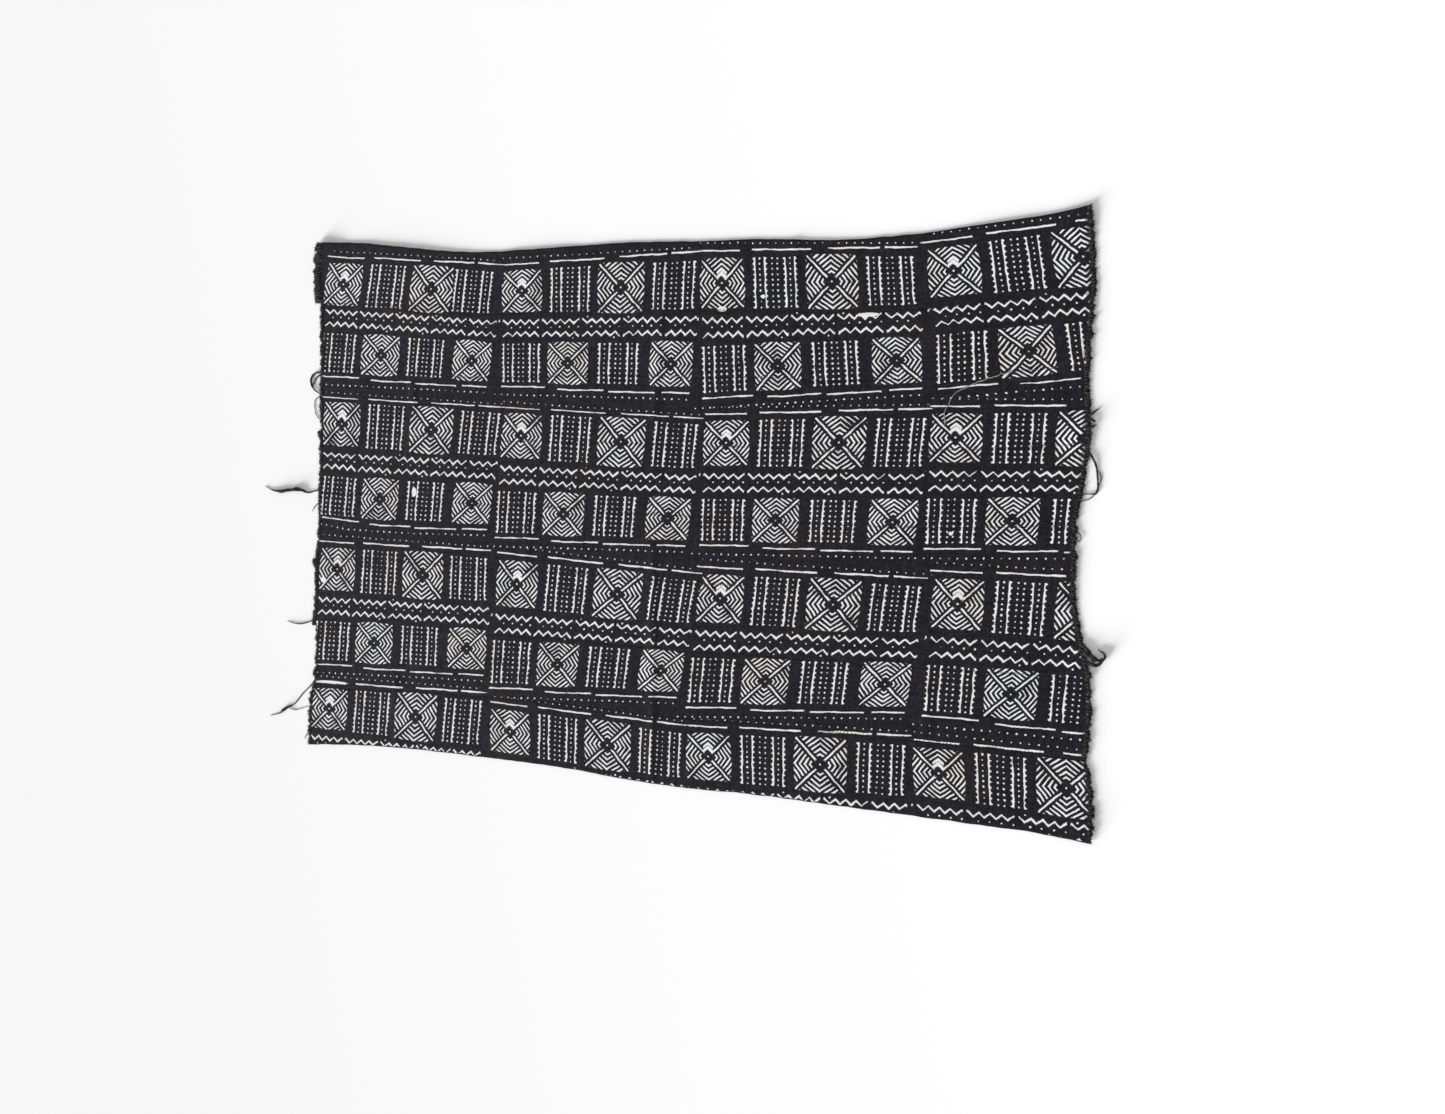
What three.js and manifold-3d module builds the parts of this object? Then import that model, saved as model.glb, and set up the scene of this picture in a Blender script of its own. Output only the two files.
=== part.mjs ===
// Mud cloth: eight hand-woven cotton strips sewn edge to edge, lying flat with the printed face up.
// Millimetres. The strips run along X, strip 1 is at the +Y side, and the floor is z = 0.
// The origin is on the floor under the middle of the piece, its loose threads included.
import * as THREE from 'three';
import { mergeVertices } from 'three/addons/utils/BufferGeometryUtils.js';
import Module from 'manifold-3d';

const wasm = await Module();
wasm.setup();

// Driving sizes.
const CLOTH_THICKNESS = 1.8;
const PIECE_GAP = 0.3;
const CLOTH_LENGTH = 1500;
const FRAY_WIDTH = 7;
const FRAY_THICKNESS = 1.6;
const TUFTS_PER_END = 7;
const TUFT_WIDTH = 1.8;
const TUFT_ROOT_DEPTH = 2.5;
const TUFT_SHORTEST = 2.5;
const TUFT_LONGEST = 7;
const TUFT_SWAY = 4;
const TUFT_BEND = 0.6;
const TUFT_THINNING = 0.6;
const TUFT_SHUFFLE = 0.4;
const STRAND_TOP_SHARE = 0.6;
const STRAND_TALLNESS = 0.85;
const SEEDS_PER_STRIP = 100;
const SEEDS_PER_SIDE = 50;
const ACROSS_ROWS = [0, 0.5, 1];
const FIRST_STATION = -670;
const LAST_STATION = 750;
const STATION_STEP = 71;
const STATION_LEAST = 3.5;
const CREASE_STATIONS = [-1.9, -1.1, -0.5, 0, 0.5, 1.1, 1.9];

// The two long selvedges, measured across the cloth at each x. The cloth flares towards its ends.
const SELVEDGES = [
  { x: -840, top: 518, bottom: -504 },
  { x: -720, top: 515, bottom: -499.5 },
  { x: -600, top: 508.5, bottom: -490 },
  { x: -480, top: 493, bottom: -485.5 },
  { x: -360, top: 479.5, bottom: -485.5 },
  { x: -240, top: 478, bottom: -487 },
  { x: -120, top: 480, bottom: -490 },
  { x: 0, top: 480.5, bottom: -498.5 },
  { x: 120, top: 476, bottom: -502 },
  { x: 240, top: 473.5, bottom: -500 },
  { x: 360, top: 465.5, bottom: -502.5 },
  { x: 480, top: 467.5, bottom: -505 },
  { x: 600, top: 477.5, bottom: -508 },
  { x: 720, top: 489.5, bottom: -511 },
  { x: 840, top: 509, bottom: -520 },
];

// Each sewn seam, as its share of the way from the top selvedge to the bottom one.
const SEAMS = [
  { left: 0, middle: 0, right: 0 },
  { left: 0.119, middle: 0.123, right: 0.13 },
  { left: 0.247, middle: 0.245, right: 0.247 },
  { left: 0.371, middle: 0.37, right: 0.371 },
  { left: 0.493, middle: 0.498, right: 0.501 },
  { left: 0.627, middle: 0.621, right: 0.626 },
  { left: 0.761, middle: 0.748, right: 0.741 },
  { left: 0.894, middle: 0.872, right: 0.87 },
  { left: 1, middle: 1, right: 1 },
];

// Where the raw ends of each strip lie, at its top edge, middle and bottom edge.
const STRIP_ENDS = [
  { left: [-707, -712, -709], right: [776.5, 782.5, 787] },
  { left: [-696, -695, -693], right: [786, 784, 782] },
  { left: [-693, -693.5, -690], right: [781, 785, 789] },
  { left: [-695, -692, -694], right: [787, 780.5, 770] },
  { left: [-694, -693, -699], right: [771, 773, 774] },
  { left: [-703, -699, -704], right: [776, 788, 803] },
  { left: [-695, -695, -702], right: [801.5, 805, 801] },
  { left: [-706, -709, -708], right: [801, 813.5, 813] },
];

// Creases left by folding: soft ridges across the strips, each from one y to another.
const CREASES = [
  { x: -476, lean: 0.02, from: 250, to: 105, height: 1.6, reach: 9 },
  { x: -502, lean: -0.03, from: -330, to: -490, height: 1.6, reach: 9 },
  { x: -218, lean: 0.04, from: -30, to: -165, height: 1.4, reach: 9 },
  { x: 40, lean: 0.03, from: 440, to: 140, height: 1.6, reach: 9 },
  { x: 44, lean: -0.02, from: -80, to: -500, height: 2.2, reach: 10 },
  { x: 289, lean: 0.03, from: 475, to: 290, height: 1.5, reach: 10 },
  { x: 544, lean: 0, from: -260, to: -420, height: 1.2, reach: 10 },
];
const CREASE_FADE = 55;

// Places where the cloth stands off the floor, mostly along its rim.
const LIFTS = [
  { x: -690, y: 510, height: 4.5, reach: 60 },
  { x: 778, y: 505, height: 3, reach: 75 },
  { x: -500, y: 505, height: 2.4, reach: 220 },
  { x: 660, y: 505, height: 1.6, reach: 110 },
  { x: 330, y: 480, height: 0.5, reach: 90 },
  { x: -200, y: 485, height: 1.2, reach: 90 },
  { x: 795, y: 140, height: 3, reach: 60 },
  { x: 815, y: -225, height: 3.5, reach: 60 },
  { x: 815, y: -500, height: 3, reach: 70 },
  { x: 785, y: 300, height: 1.5, reach: 130 },
  { x: 790, y: -40, height: 1.5, reach: 120 },
  { x: 812, y: -370, height: 1.5, reach: 120 },
];

// Loose warp threads and locks at the raw ends, lying on the floor. Each is rooted in its band at the y in
// root, runs through the points of its path, x, y and width, and goes back into the band at the y in end
// where it is a loop.
const LOOSE_THREADS = [
  {
    fray: 'strip_3_left',
    root: 257,
    path: [[-708, 253, 4.5], [-716, 243, 4.5], [-714, 231, 5.5], [-706, 220, 3.5]],
    end: 212,
  },
  { fray: 'strip_3_left', root: 252, path: [[-704, 245, 3], [-708, 236, 3], [-713, 230, 3]] },
  {
    fray: 'strip_3_left',
    root: 209,
    path: [[-704, 203, 1.8], [-707, 194, 1.8], [-706, 180, 1.8], [-701, 168, 1.8]],
    end: 160,
  },
  {
    fray: 'strip_4_left',
    root: 20,
    path: [
      [-706, 16.5, 2.4],
      [-720, 14, 3.6],
      [-732, 18, 6.5],
      [-746, 20, 9],
      [-760, 18, 7],
      [-772, 18, 8],
      [-787, 15, 8],
      [-801, 16, 4.4],
      [-813, 19, 2.2],
      [-826, 25, 1.2],
    ],
  },
  { fray: 'strip_5_left', root: -6, path: [[-701, -12, 2], [-710, -24, 1.2]] },
  { fray: 'strip_6_left', root: -242, path: [[-716, -250, 2.4], [-740, -254, 2.2], [-767, -250, 1.2]] },
  {
    fray: 'strip_7_left',
    root: -367,
    path: [
      [-708, -380, 2.2],
      [-720, -391, 2.2],
      [-730, -401, 2.4],
      [-740, -413, 2.4],
      [-748, -421, 2.2],
      [-758, -425, 4.5],
      [-767, -430, 6.5],
      [-774, -435, 7],
      [-782, -441, 2.4],
      [-806, -448, 1],
    ],
  },
  {
    fray: 'strip_7_left',
    path: [[-758, -428, 1.6], [-745, -431, 1.8], [-732, -428, 1.2], [-718, -423, 1], [-711, -421, 1]],
  },
  { fray: 'strip_8_left', root: -472, path: [[-714, -479, 2], [-720, -489, 1]] },
  { fray: 'strip_3_right', root: 167, path: [[788, 169, 5], [794, 174, 3.4], [800, 178, 1.2]] },
  { fray: 'strip_3_right', root: 159, path: [[789, 160, 6], [794, 157, 3]] },
  { fray: 'strip_3_right', root: 147, path: [[790, 149, 6], [796, 152, 2.4]] },
  {
    fray: 'strip_4_right',
    root: 110,
    path: [
      [789, 104, 4.5],
      [795, 94, 4.5],
      [799, 82, 3.2],
      [801, 66, 2.8],
      [802, 52, 3.6],
      [799, 43, 3.6],
      [791, 42, 2.2],
    ],
    end: 42,
  },
  { fray: 'strip_4_right', path: [[799, 81, 1.6], [805, 74, 1.6], [806, 64, 1.6], [803, 56, 1.6]] },
  { fray: 'strip_4_right', path: [[798, 42, 1.8], [790, 34, 1.6]], end: 29 },
  { fray: 'strip_5_right', root: -18, path: [[777, -22, 1.5], [779, -31, 1.4]], end: -38 },
  { fray: 'strip_6_right', root: -198, path: [[797, -208, 6], [802, -218, 7], [808, -228, 8]] },
  {
    fray: 'strip_6_right',
    root: -226,
    path: [
      [805, -230, 8],
      [811, -231, 7],
      [816, -227, 6],
      [820, -221, 5],
      [823.5, -215, 5],
      [819, -210, 4],
      [812, -205, 2],
    ],
  },
];

// Colours and finish.
const CLOTH_BLACK = new THREE.Color('#232327');
const RAW_END_BROWN = new THREE.Color('#3a3735');

const clamp = THREE.MathUtils.clamp;
const lerp = THREE.MathUtils.lerp;

// The value of a measured column at x, on a smooth curve through its evenly spaced rows.
function rowValue(column, x) {
  const step = SELVEDGES[1].x - SELVEDGES[0].x;
  const last = SELVEDGES.length - 1;
  const place = clamp((x - SELVEDGES[0].x) / step, 0, last);
  const row = Math.min(Math.floor(place), last - 1);
  const before = SELVEDGES[Math.max(row - 1, 0)][column];
  const here = SELVEDGES[row][column];
  const next = SELVEDGES[row + 1][column];
  const after = SELVEDGES[Math.min(row + 2, last)][column];
  const t = place - row;
  const bend = (after - 3 * next + 3 * here - before) * t;
  const turn = 2 * before - 5 * here + 4 * next - after;
  return here + 0.5 * t * (next - before + t * (turn + bend));
}

// A parabola through three values, at 0, a half and 1.
function throughThree(first, middle, last, t) {
  return first * (1 - t) * (1 - 2 * t) + 4 * middle * t * (1 - t) + last * t * (2 * t - 1);
}

function seamY(seam, x) {
  const along = clamp(x / CLOTH_LENGTH + 0.5, 0, 1);
  const share = throughThree(SEAMS[seam].left, SEAMS[seam].middle, SEAMS[seam].right, along);
  return lerp(rowValue('top', x), rowValue('bottom', x), share);
}

// The height of the cloth's underside over the floor.
function clothHeight(x, y) {
  let height = 0;
  for (const crease of CREASES) {
    const middle = (crease.from + crease.to) / 2;
    const ridge = crease.x + crease.lean * (y - middle);
    const rise = THREE.MathUtils.smoothstep(crease.from - y, -CREASE_FADE / 2, CREASE_FADE / 2);
    const fall = THREE.MathUtils.smoothstep(y - crease.to, -CREASE_FADE / 2, CREASE_FADE / 2);
    height += crease.height * rise * fall * Math.exp(-(((x - ridge) / crease.reach) ** 2));
  }
  for (const lift of LIFTS) {
    const away = Math.hypot(x - lift.x, y - lift.y) / lift.reach;
    const swell = clamp(1 - away * away, 0, 1);
    height += lift.height * swell * swell;
  }
  return height;
}

// The x of a strip's raw end, from its top edge (across = 0) to its bottom edge (across = 1).
function endX(strip, side, across) {
  const [first, middle, last] = STRIP_ENDS[strip][side];
  return throughThree(first, middle, last, across);
}

// A point in plan on a strip at a given x, held half a gap inside each seam.
function stripY(strip, x, across) {
  const top = seamY(strip, x) - PIECE_GAP / 2;
  const bottom = seamY(strip + 1, x) + PIECE_GAP / 2;
  return lerp(top, bottom, across);
}

// A thin sheet: a box cut into stations along it and rows across it, each point moved by place().
function sheet(stations, rows, place) {
  const columns = stations.length - 1;
  const lines = rows.length - 1;
  const geometry = new THREE.BoxGeometry(1, 1, 1, columns, lines, 1);
  geometry.deleteAttribute('normal');
  geometry.deleteAttribute('uv');
  const position = geometry.getAttribute('position');
  for (let i = 0; i < position.count; i++) {
    const station = stations[Math.round((position.getX(i) + 0.5) * columns)];
    const row = rows[Math.round((0.5 - position.getY(i)) * lines)];
    const point = place(station, row, position.getZ(i) > 0);
    position.setXYZ(i, point.x, point.y, point.z);
  }
  return mergeVertices(geometry);
}

function material(colour) {
  return new THREE.MeshStandardMaterial({ color: colour, roughness: 0.95, metalness: 0 });
}

function named(name, geometry, colour) {
  geometry.computeVertexNormals();
  const mesh = new THREE.Mesh(geometry, material(colour));
  mesh.name = name;
  return mesh;
}

// Places along every strip, close together over each crease, between its two raw ends. All strips share
// them, so that their seams run side by side.
function placesAlong() {
  const places = [];
  for (let x = FIRST_STATION; x <= LAST_STATION; x += STATION_STEP) places.push(x);
  for (const crease of CREASES) {
    for (const offset of CREASE_STATIONS) places.push(crease.x + offset * crease.reach);
  }
  places.sort((a, b) => a - b);
  return places.filter((x, i) => i === 0 || x - places[i - 1] > STATION_LEAST);
}

function stripBody(strip) {
  const stations = ['left', ...placesAlong(), 'right'];
  return sheet(stations, ACROSS_ROWS, (station, across, upper) => {
    const inset = FRAY_WIDTH + PIECE_GAP;
    let x = station;
    if (station === 'left') x = endX(strip, 'left', across) + inset;
    if (station === 'right') x = endX(strip, 'right', across) - inset;
    const y = stripY(strip, x, across);
    return new THREE.Vector3(x, y, clothHeight(x, y) + (upper ? CLOTH_THICKNESS : 0));
  });
}

// The frayed band at a raw end: the last few weft picks, felted with the warp ends.
function frayBand(strip, side) {
  const outward = side === 'left' ? -1 : 1;
  return sheet([0, 1], ACROSS_ROWS, (station, across, upper) => {
    const fromEnd = side === 'left' ? station * FRAY_WIDTH : (1 - station) * FRAY_WIDTH;
    const x = endX(strip, side, across) - outward * fromEnd;
    const y = stripY(strip, x, across);
    return new THREE.Vector3(x, y, clothHeight(x, y) + (upper ? FRAY_THICKNESS : 0));
  });
}

// A strand lying on the floor: four sides, flat below, its width given at each point of its path.
function strand(path) {
  const box = new THREE.BoxGeometry(1, 1, 1, path.length - 1, 1, 1);
  box.deleteAttribute('normal');
  box.deleteAttribute('uv');
  const position = box.getAttribute('position');
  for (let i = 0; i < position.count; i++) {
    const index = Math.round((position.getX(i) + 0.5) * (path.length - 1));
    const before = path[Math.max(index - 1, 0)];
    const after = path[Math.min(index + 1, path.length - 1)];
    const heading = new THREE.Vector2(after.x - before.x, after.y - before.y).normalize();
    const upper = position.getZ(i) > 0;
    const half = path[index].width * 0.5 * (upper ? STRAND_TOP_SHARE : 1) * Math.sign(position.getY(i));
    const x = path[index].x - heading.y * half;
    const y = path[index].y + heading.x * half;
    position.setXYZ(i, x, y, path[index].z + (upper ? STRAND_TALLNESS * path[index].width : 0));
  }
  return mergeVertices(box);
}

// A repeatable spread of values from 0 to 1 for uneven tufts.
function spread(seed) {
  const value = Math.sin(seed * 12.9898) * 43758.5453;
  return value - Math.floor(value);
}

// The height of a band's underside, straight between its rows.
function bandHeight(strip, side, across) {
  const cell = Math.min(Math.floor(across * (ACROSS_ROWS.length - 1)), ACROSS_ROWS.length - 2);
  const [above, below] = [ACROSS_ROWS[cell], ACROSS_ROWS[cell + 1]].map((row) => {
    const x = endX(strip, side, row);
    return clothHeight(x, stripY(strip, x, row));
  });
  return lerp(above, below, (across - ACROSS_ROWS[cell]) / (ACROSS_ROWS[cell + 1] - ACROSS_ROWS[cell]));
}

function tufts(strip, side) {
  const outward = side === 'left' ? -1 : 1;
  const made = [];
  for (let i = 0; i < TUFTS_PER_END; i++) {
    const seed = SEEDS_PER_STRIP * strip + i + (side === 'left' ? 0 : SEEDS_PER_SIDE);
    const across = (i + 0.5 + TUFT_SHUFFLE * (spread(seed) - 0.5)) / TUFTS_PER_END;
    const length = lerp(TUFT_SHORTEST, TUFT_LONGEST, spread(seed + 7));
    const sway = TUFT_SWAY * (spread(seed + 13) - 0.5);
    const rootX = endX(strip, side, across) - outward * TUFT_ROOT_DEPTH;
    const rootY = stripY(strip, rootX, across);
    const z = bandHeight(strip, side, across);
    const path = [0, TUFT_BEND, 1].map((t) => {
      const x = rootX + outward * t * (length + TUFT_ROOT_DEPTH);
      return { x, y: rootY + sway * t, z: z * (1 - t), width: TUFT_WIDTH * (1 - TUFT_THINNING * t) };
    });
    made.push(strand(path));
  }
  return made;
}

// A root in the band at a raw end, at a given y.
function rootPoint(strip, side, y, width) {
  const outward = side === 'left' ? -1 : 1;
  const near = endX(strip, side, 0.5);
  const across = (y - stripY(strip, near, 0)) / (stripY(strip, near, 1) - stripY(strip, near, 0));
  const x = endX(strip, side, across) - outward * TUFT_ROOT_DEPTH;
  return { x, y, width, z: bandHeight(strip, side, across) };
}

// A loose thread comes down from its root to the floor and lies there.
function looseThreads(strip, side) {
  const own = LOOSE_THREADS.filter((thread) => thread.fray === `strip_${strip + 1}_${side}`);
  return own.map((thread) => {
    const path = thread.path.map(([x, y, width]) => ({ x, y, width, z: 0 }));
    if (thread.root !== undefined) path.unshift(rootPoint(strip, side, thread.root, path[0].width));
    if (thread.end !== undefined) path.push(rootPoint(strip, side, thread.end, path.at(-1).width));
    return strand(path);
  });
}

function solid(geometry) {
  const vertProperties = new Float32Array(geometry.getAttribute('position').array);
  const triVerts = new Uint32Array(geometry.index.array);
  return new wasm.Manifold(new wasm.Mesh({ numProp: 3, vertProperties, triVerts }));
}

function surface(body) {
  const mesh = body.getMesh();
  const geometry = new THREE.BufferGeometry();
  geometry.setAttribute('position', new THREE.BufferAttribute(mesh.vertProperties, 3));
  geometry.setIndex(new THREE.BufferAttribute(mesh.triVerts, 1));
  return geometry;
}

function fray(strip, side) {
  const pieces = [...tufts(strip, side), ...looseThreads(strip, side)];
  let body = solid(frayBand(strip, side));
  for (const piece of pieces) body = body.add(solid(piece));
  return surface(body);
}

const mudCloth = new THREE.Group();
for (let strip = 0; strip < STRIP_ENDS.length; strip++) {
  const name = `strip_${strip + 1}`;
  mudCloth.add(named(name, stripBody(strip), CLOTH_BLACK));
  mudCloth.add(named(`${name}_left_fray`, fray(strip, 'left'), RAW_END_BROWN));
  mudCloth.add(named(`${name}_right_fray`, fray(strip, 'right'), RAW_END_BROWN));
}

export default mudCloth;
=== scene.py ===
# %% [markdown]
# A mud cloth: eight narrow strips of hand-woven cotton, sewn edge to edge, dyed nearly black with fermented
# mud and stencilled in white on the upper face. It lies on a pale floor with its raw ends and their loose
# threads spread out sideways. The construction, with the true outline of every strip and raw end, is loaded
# first, and each piece made below takes the place of the plain solid of the same name.

# %% Load the construction
import math
import random

import bmesh
import bpy
import numpy as np
from mathutils import Matrix, Vector, noise


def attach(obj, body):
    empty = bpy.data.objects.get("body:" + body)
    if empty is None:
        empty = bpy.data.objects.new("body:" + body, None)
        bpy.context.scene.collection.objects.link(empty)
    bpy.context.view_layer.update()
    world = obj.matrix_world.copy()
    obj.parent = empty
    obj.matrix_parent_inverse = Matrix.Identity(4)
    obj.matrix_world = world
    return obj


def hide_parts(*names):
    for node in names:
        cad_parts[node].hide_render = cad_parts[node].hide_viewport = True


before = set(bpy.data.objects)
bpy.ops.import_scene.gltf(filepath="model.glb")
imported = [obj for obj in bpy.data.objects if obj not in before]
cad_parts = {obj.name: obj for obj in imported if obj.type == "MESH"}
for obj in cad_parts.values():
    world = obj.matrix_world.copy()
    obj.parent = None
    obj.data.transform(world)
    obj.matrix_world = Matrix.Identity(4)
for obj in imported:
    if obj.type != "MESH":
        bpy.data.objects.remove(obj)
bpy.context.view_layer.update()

MM = 0.001
BODY = "root"
print("construction:", len(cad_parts), "solids")

# %% [markdown]
# Colours are written as sRGB hex, as they are read from a picture, and one function turns them linear.
# Materials are built from nodes. Each could be placed and linked in the editor, or in several lines of
# script. One helper adds a node here, with its settings and its inputs in order, so that a material reads as
# a list of steps. A node given as an input is linked by its first output, and None leaves an input as it is.
# The numbers of a noise are its scale, detail and roughness. Those of a map range are the two values that it
# reads and the two that it gives.

# %% Colour and node helpers
MATH = "ShaderNodeMath"
MIX = "ShaderNodeMixRGB"
VECTOR = "ShaderNodeVectorMath"
NOISE = "ShaderNodeTexNoise"
RANGE = "ShaderNodeMapRange"


def linear(code):
    channels = [int(code[i : i + 2], 16) / 255 for i in (1, 3, 5)]
    curved = [c / 12.92 if c <= 0.04045 else ((c + 0.055) / 1.055) ** 2.4 for c in channels]
    return (*curved, 1.0)


def add(tree, kind, *inputs, **settings):
    node = tree.nodes.new(kind)
    for name, value in settings.items():
        setattr(node, name, value)
    for place, value in enumerate(inputs):
        if isinstance(value, bpy.types.Node):
            value = value.outputs[0]
        if isinstance(value, bpy.types.NodeSocket):
            tree.links.new(value, node.inputs[place])
        elif value is not None:
            node.inputs[place].default_value = value
    return node


# %% [markdown]
# The camera stands over the right-hand part of the cloth and looks down and to the left, which makes the
# left end look smaller. It could be turned by eye until the corners fit. Its place and its three axes come
# from the cloth's four corners in the picture instead, which fix them all once the cloth's size is chosen.

# %% Camera
CAMERA_PLACE = Vector((0.8433, -0.0086, 1.9271))
CAMERA_RIGHT = Vector((0.94375, 0.02820, -0.32947))
CAMERA_UP = Vector((-0.03855, 0.99895, -0.02490))
SENSOR_WIDTH = 36.0
FOCAL_PIXELS = 1150.0
FRAME_PIXELS = 1445.0

camera_data = bpy.data.cameras.new("camera")
camera_data.sensor_width = SENSOR_WIDTH
camera_data.lens = SENSOR_WIDTH * FOCAL_PIXELS / FRAME_PIXELS
camera = bpy.data.objects.new("camera", camera_data)
camera_back = CAMERA_RIGHT.cross(CAMERA_UP).normalized()
camera_up = camera_back.cross(CAMERA_RIGHT).normalized()
camera_axes = Matrix((CAMERA_RIGHT.normalized(), camera_up, camera_back)).transposed()
camera.matrix_world = Matrix.Translation(CAMERA_PLACE) @ camera_axes.to_4x4()
bpy.context.scene.collection.objects.link(camera)
bpy.context.scene.camera = camera
print("camera lens:", round(camera_data.lens, 2), "mm")

# %% [markdown]
# The outline of the construction is repeated here, because the fine sheets have to lie exactly on it. It
# could be read back from the solids, but the measured offsets also give every point between their corners.
# The two long selvedges are rows of offsets, each seam is a share of the way between them, and each raw end
# is an x at its top edge, middle and bottom edge. All of them are in millimetres. The edge of a hand-woven
# strip is never quite smooth, so the two outer selvedges also swing by about a millimetre.

# %% Outline of the cloth
CLOTH_THICKNESS = 1.8
PIECE_GAP = 0.3
CLOTH_LENGTH = 1500
FRAY_WIDTH = 7
FRAY_THICKNESS = 1.6
ROW_X = np.arange(-840, 841, 120)
TOP_SELVEDGE = np.array(
    [518, 515, 508.5, 493, 479.5, 478, 480, 480.5, 476, 473.5, 465.5, 467.5, 477.5, 489.5, 509]
)
BOTTOM_SELVEDGE = -np.array(
    [504, 499.5, 490, 485.5, 485.5, 487, 490, 498.5, 502, 500, 502.5, 505, 508, 511, 520]
)
SEAM_SHARES = [
    (0, 0, 0),
    (0.119, 0.123, 0.13),
    (0.247, 0.245, 0.247),
    (0.371, 0.37, 0.371),
    (0.493, 0.498, 0.501),
    (0.627, 0.621, 0.626),
    (0.761, 0.748, 0.741),
    (0.894, 0.872, 0.87),
    (1, 1, 1),
]
LEFT_ENDS = [
    (-707, -712, -709),
    (-696, -695, -693),
    (-693, -693.5, -690),
    (-695, -692, -694),
    (-694, -693, -699),
    (-703, -699, -704),
    (-695, -695, -702),
    (-706, -709, -708),
]
RIGHT_ENDS = [
    (776.5, 782.5, 787),
    (786, 784, 782),
    (781, 785, 789),
    (787, 780.5, 770),
    (771, 773, 774),
    (776, 788, 803),
    (801.5, 805, 801),
    (801, 813.5, 813),
]
STRIPS = range(len(LEFT_ENDS))
SIDES = {"left": (LEFT_ENDS, -1), "right": (RIGHT_ENDS, 1)}
# The swing of an outer selvedge: where it is worked out, and the size and length of its waves.
SWING_X = np.arange(-860, 861, 2)
SWING_WAVES = [(0.9, 38.0), (0.6, 15.0)]


def along_rows(rows, x):
    """The value at x on a smooth curve through evenly spaced rows."""
    place = np.clip((x - ROW_X[0]) / (ROW_X[1] - ROW_X[0]), 0, len(rows) - 1)
    row = np.minimum(np.floor(place).astype(int), len(rows) - 2)
    before, here = rows[np.maximum(row - 1, 0)], rows[row]
    after, later = rows[row + 1], rows[np.minimum(row + 2, len(rows) - 1)]
    t = place - row
    bend = (later - 3 * after + 3 * here - before) * t
    turn = 2 * before - 5 * here + 4 * after - later
    return here + 0.5 * t * (after - before + t * (turn + bend))


def through_three(values, t):
    """A parabola through three values, at 0, a half and 1."""
    first, middle, last = values
    return first * (1 - t) * (1 - 2 * t) + 4 * middle * t * (1 - t) + last * t * (2 * t - 1)


def swing_of(seam):
    """The small sideways swing of an outer selvedge along the cloth."""
    total = np.zeros(len(SWING_X))
    for size, length in SWING_WAVES:
        total += size * np.array([noise.noise(Vector((x / length, seam, size))) for x in SWING_X])
    return total


SWINGS = {seam: swing_of(seam) for seam in (0, len(SEAM_SHARES) - 1)}


def seam_y(seam, x):
    """The y of a seam at x. The first and the last one are the outer selvedges."""
    share = through_three(SEAM_SHARES[seam], np.clip(x / CLOTH_LENGTH + 0.5, 0, 1))
    top, bottom = along_rows(TOP_SELVEDGE, x), along_rows(BOTTOM_SELVEDGE, x)
    swing = np.interp(x, SWING_X, SWINGS[seam]) if seam in SWINGS else 0.0
    return top + (bottom - top) * share + swing


def strip_y(strip, x, across):
    """The y on a strip at x, from its top edge (across = 0) to its bottom edge (across = 1)."""
    top = seam_y(strip, x) - PIECE_GAP / 2
    bottom = seam_y(strip + 1, x) + PIECE_GAP / 2
    return top + (bottom - top) * across


def end_x(strip, side, across):
    """The x of a strip's raw end, from its top edge (across = 0) to its bottom edge (across = 1)."""
    return through_three(SIDES[side][0][strip], across)


print("strips:", len(STRIPS), "seams:", len(SEAM_SHARES) - 2)

# %% [markdown]
# The cloth was stored folded, so short soft creases cross it, and its rim lifts off the floor in places. A
# cloth simulation could settle it on the floor, but it would not put these creases where they are. Here they
# are heights over the floor, added up at each point, the same ones as in the construction. A slow unevenness
# of a few tenths of a millimetre is laid over them, since hand-woven cotton never lies dead flat.

# %% Height of the cloth over the floor
CREASES = [
    {"x": -476, "lean": 0.02, "start": 250, "end": 105, "height": 1.6, "reach": 9},
    {"x": -502, "lean": -0.03, "start": -330, "end": -490, "height": 1.6, "reach": 9},
    {"x": -218, "lean": 0.04, "start": -30, "end": -165, "height": 1.4, "reach": 9},
    {"x": 40, "lean": 0.03, "start": 440, "end": 140, "height": 1.6, "reach": 9},
    {"x": 44, "lean": -0.02, "start": -80, "end": -500, "height": 2.2, "reach": 10},
    {"x": 289, "lean": 0.03, "start": 475, "end": 290, "height": 1.5, "reach": 10},
    {"x": 544, "lean": 0, "start": -260, "end": -420, "height": 1.2, "reach": 10},
]
CREASE_FADE = 55
LIFTS = [
    {"x": -690, "y": 510, "height": 4.5, "reach": 60},
    {"x": 778, "y": 505, "height": 3, "reach": 75},
    {"x": -500, "y": 505, "height": 2.4, "reach": 220},
    {"x": 660, "y": 505, "height": 1.6, "reach": 110},
    {"x": 330, "y": 480, "height": 0.5, "reach": 90},
    {"x": -200, "y": 485, "height": 1.2, "reach": 90},
    {"x": 795, "y": 140, "height": 3, "reach": 60},
    {"x": 815, "y": -225, "height": 3.5, "reach": 60},
    {"x": 815, "y": -500, "height": 3, "reach": 70},
    {"x": 785, "y": 300, "height": 1.5, "reach": 130},
    {"x": 790, "y": -40, "height": 1.5, "reach": 120},
    {"x": 812, "y": -370, "height": 1.5, "reach": 120},
]
UNEVEN_HEIGHT = 0.3
UNEVEN_SIZE = 70


def smoothstep(value, low, high):
    t = np.clip((value - low) / (high - low), 0, 1)
    return t * t * (3 - 2 * t)


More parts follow.
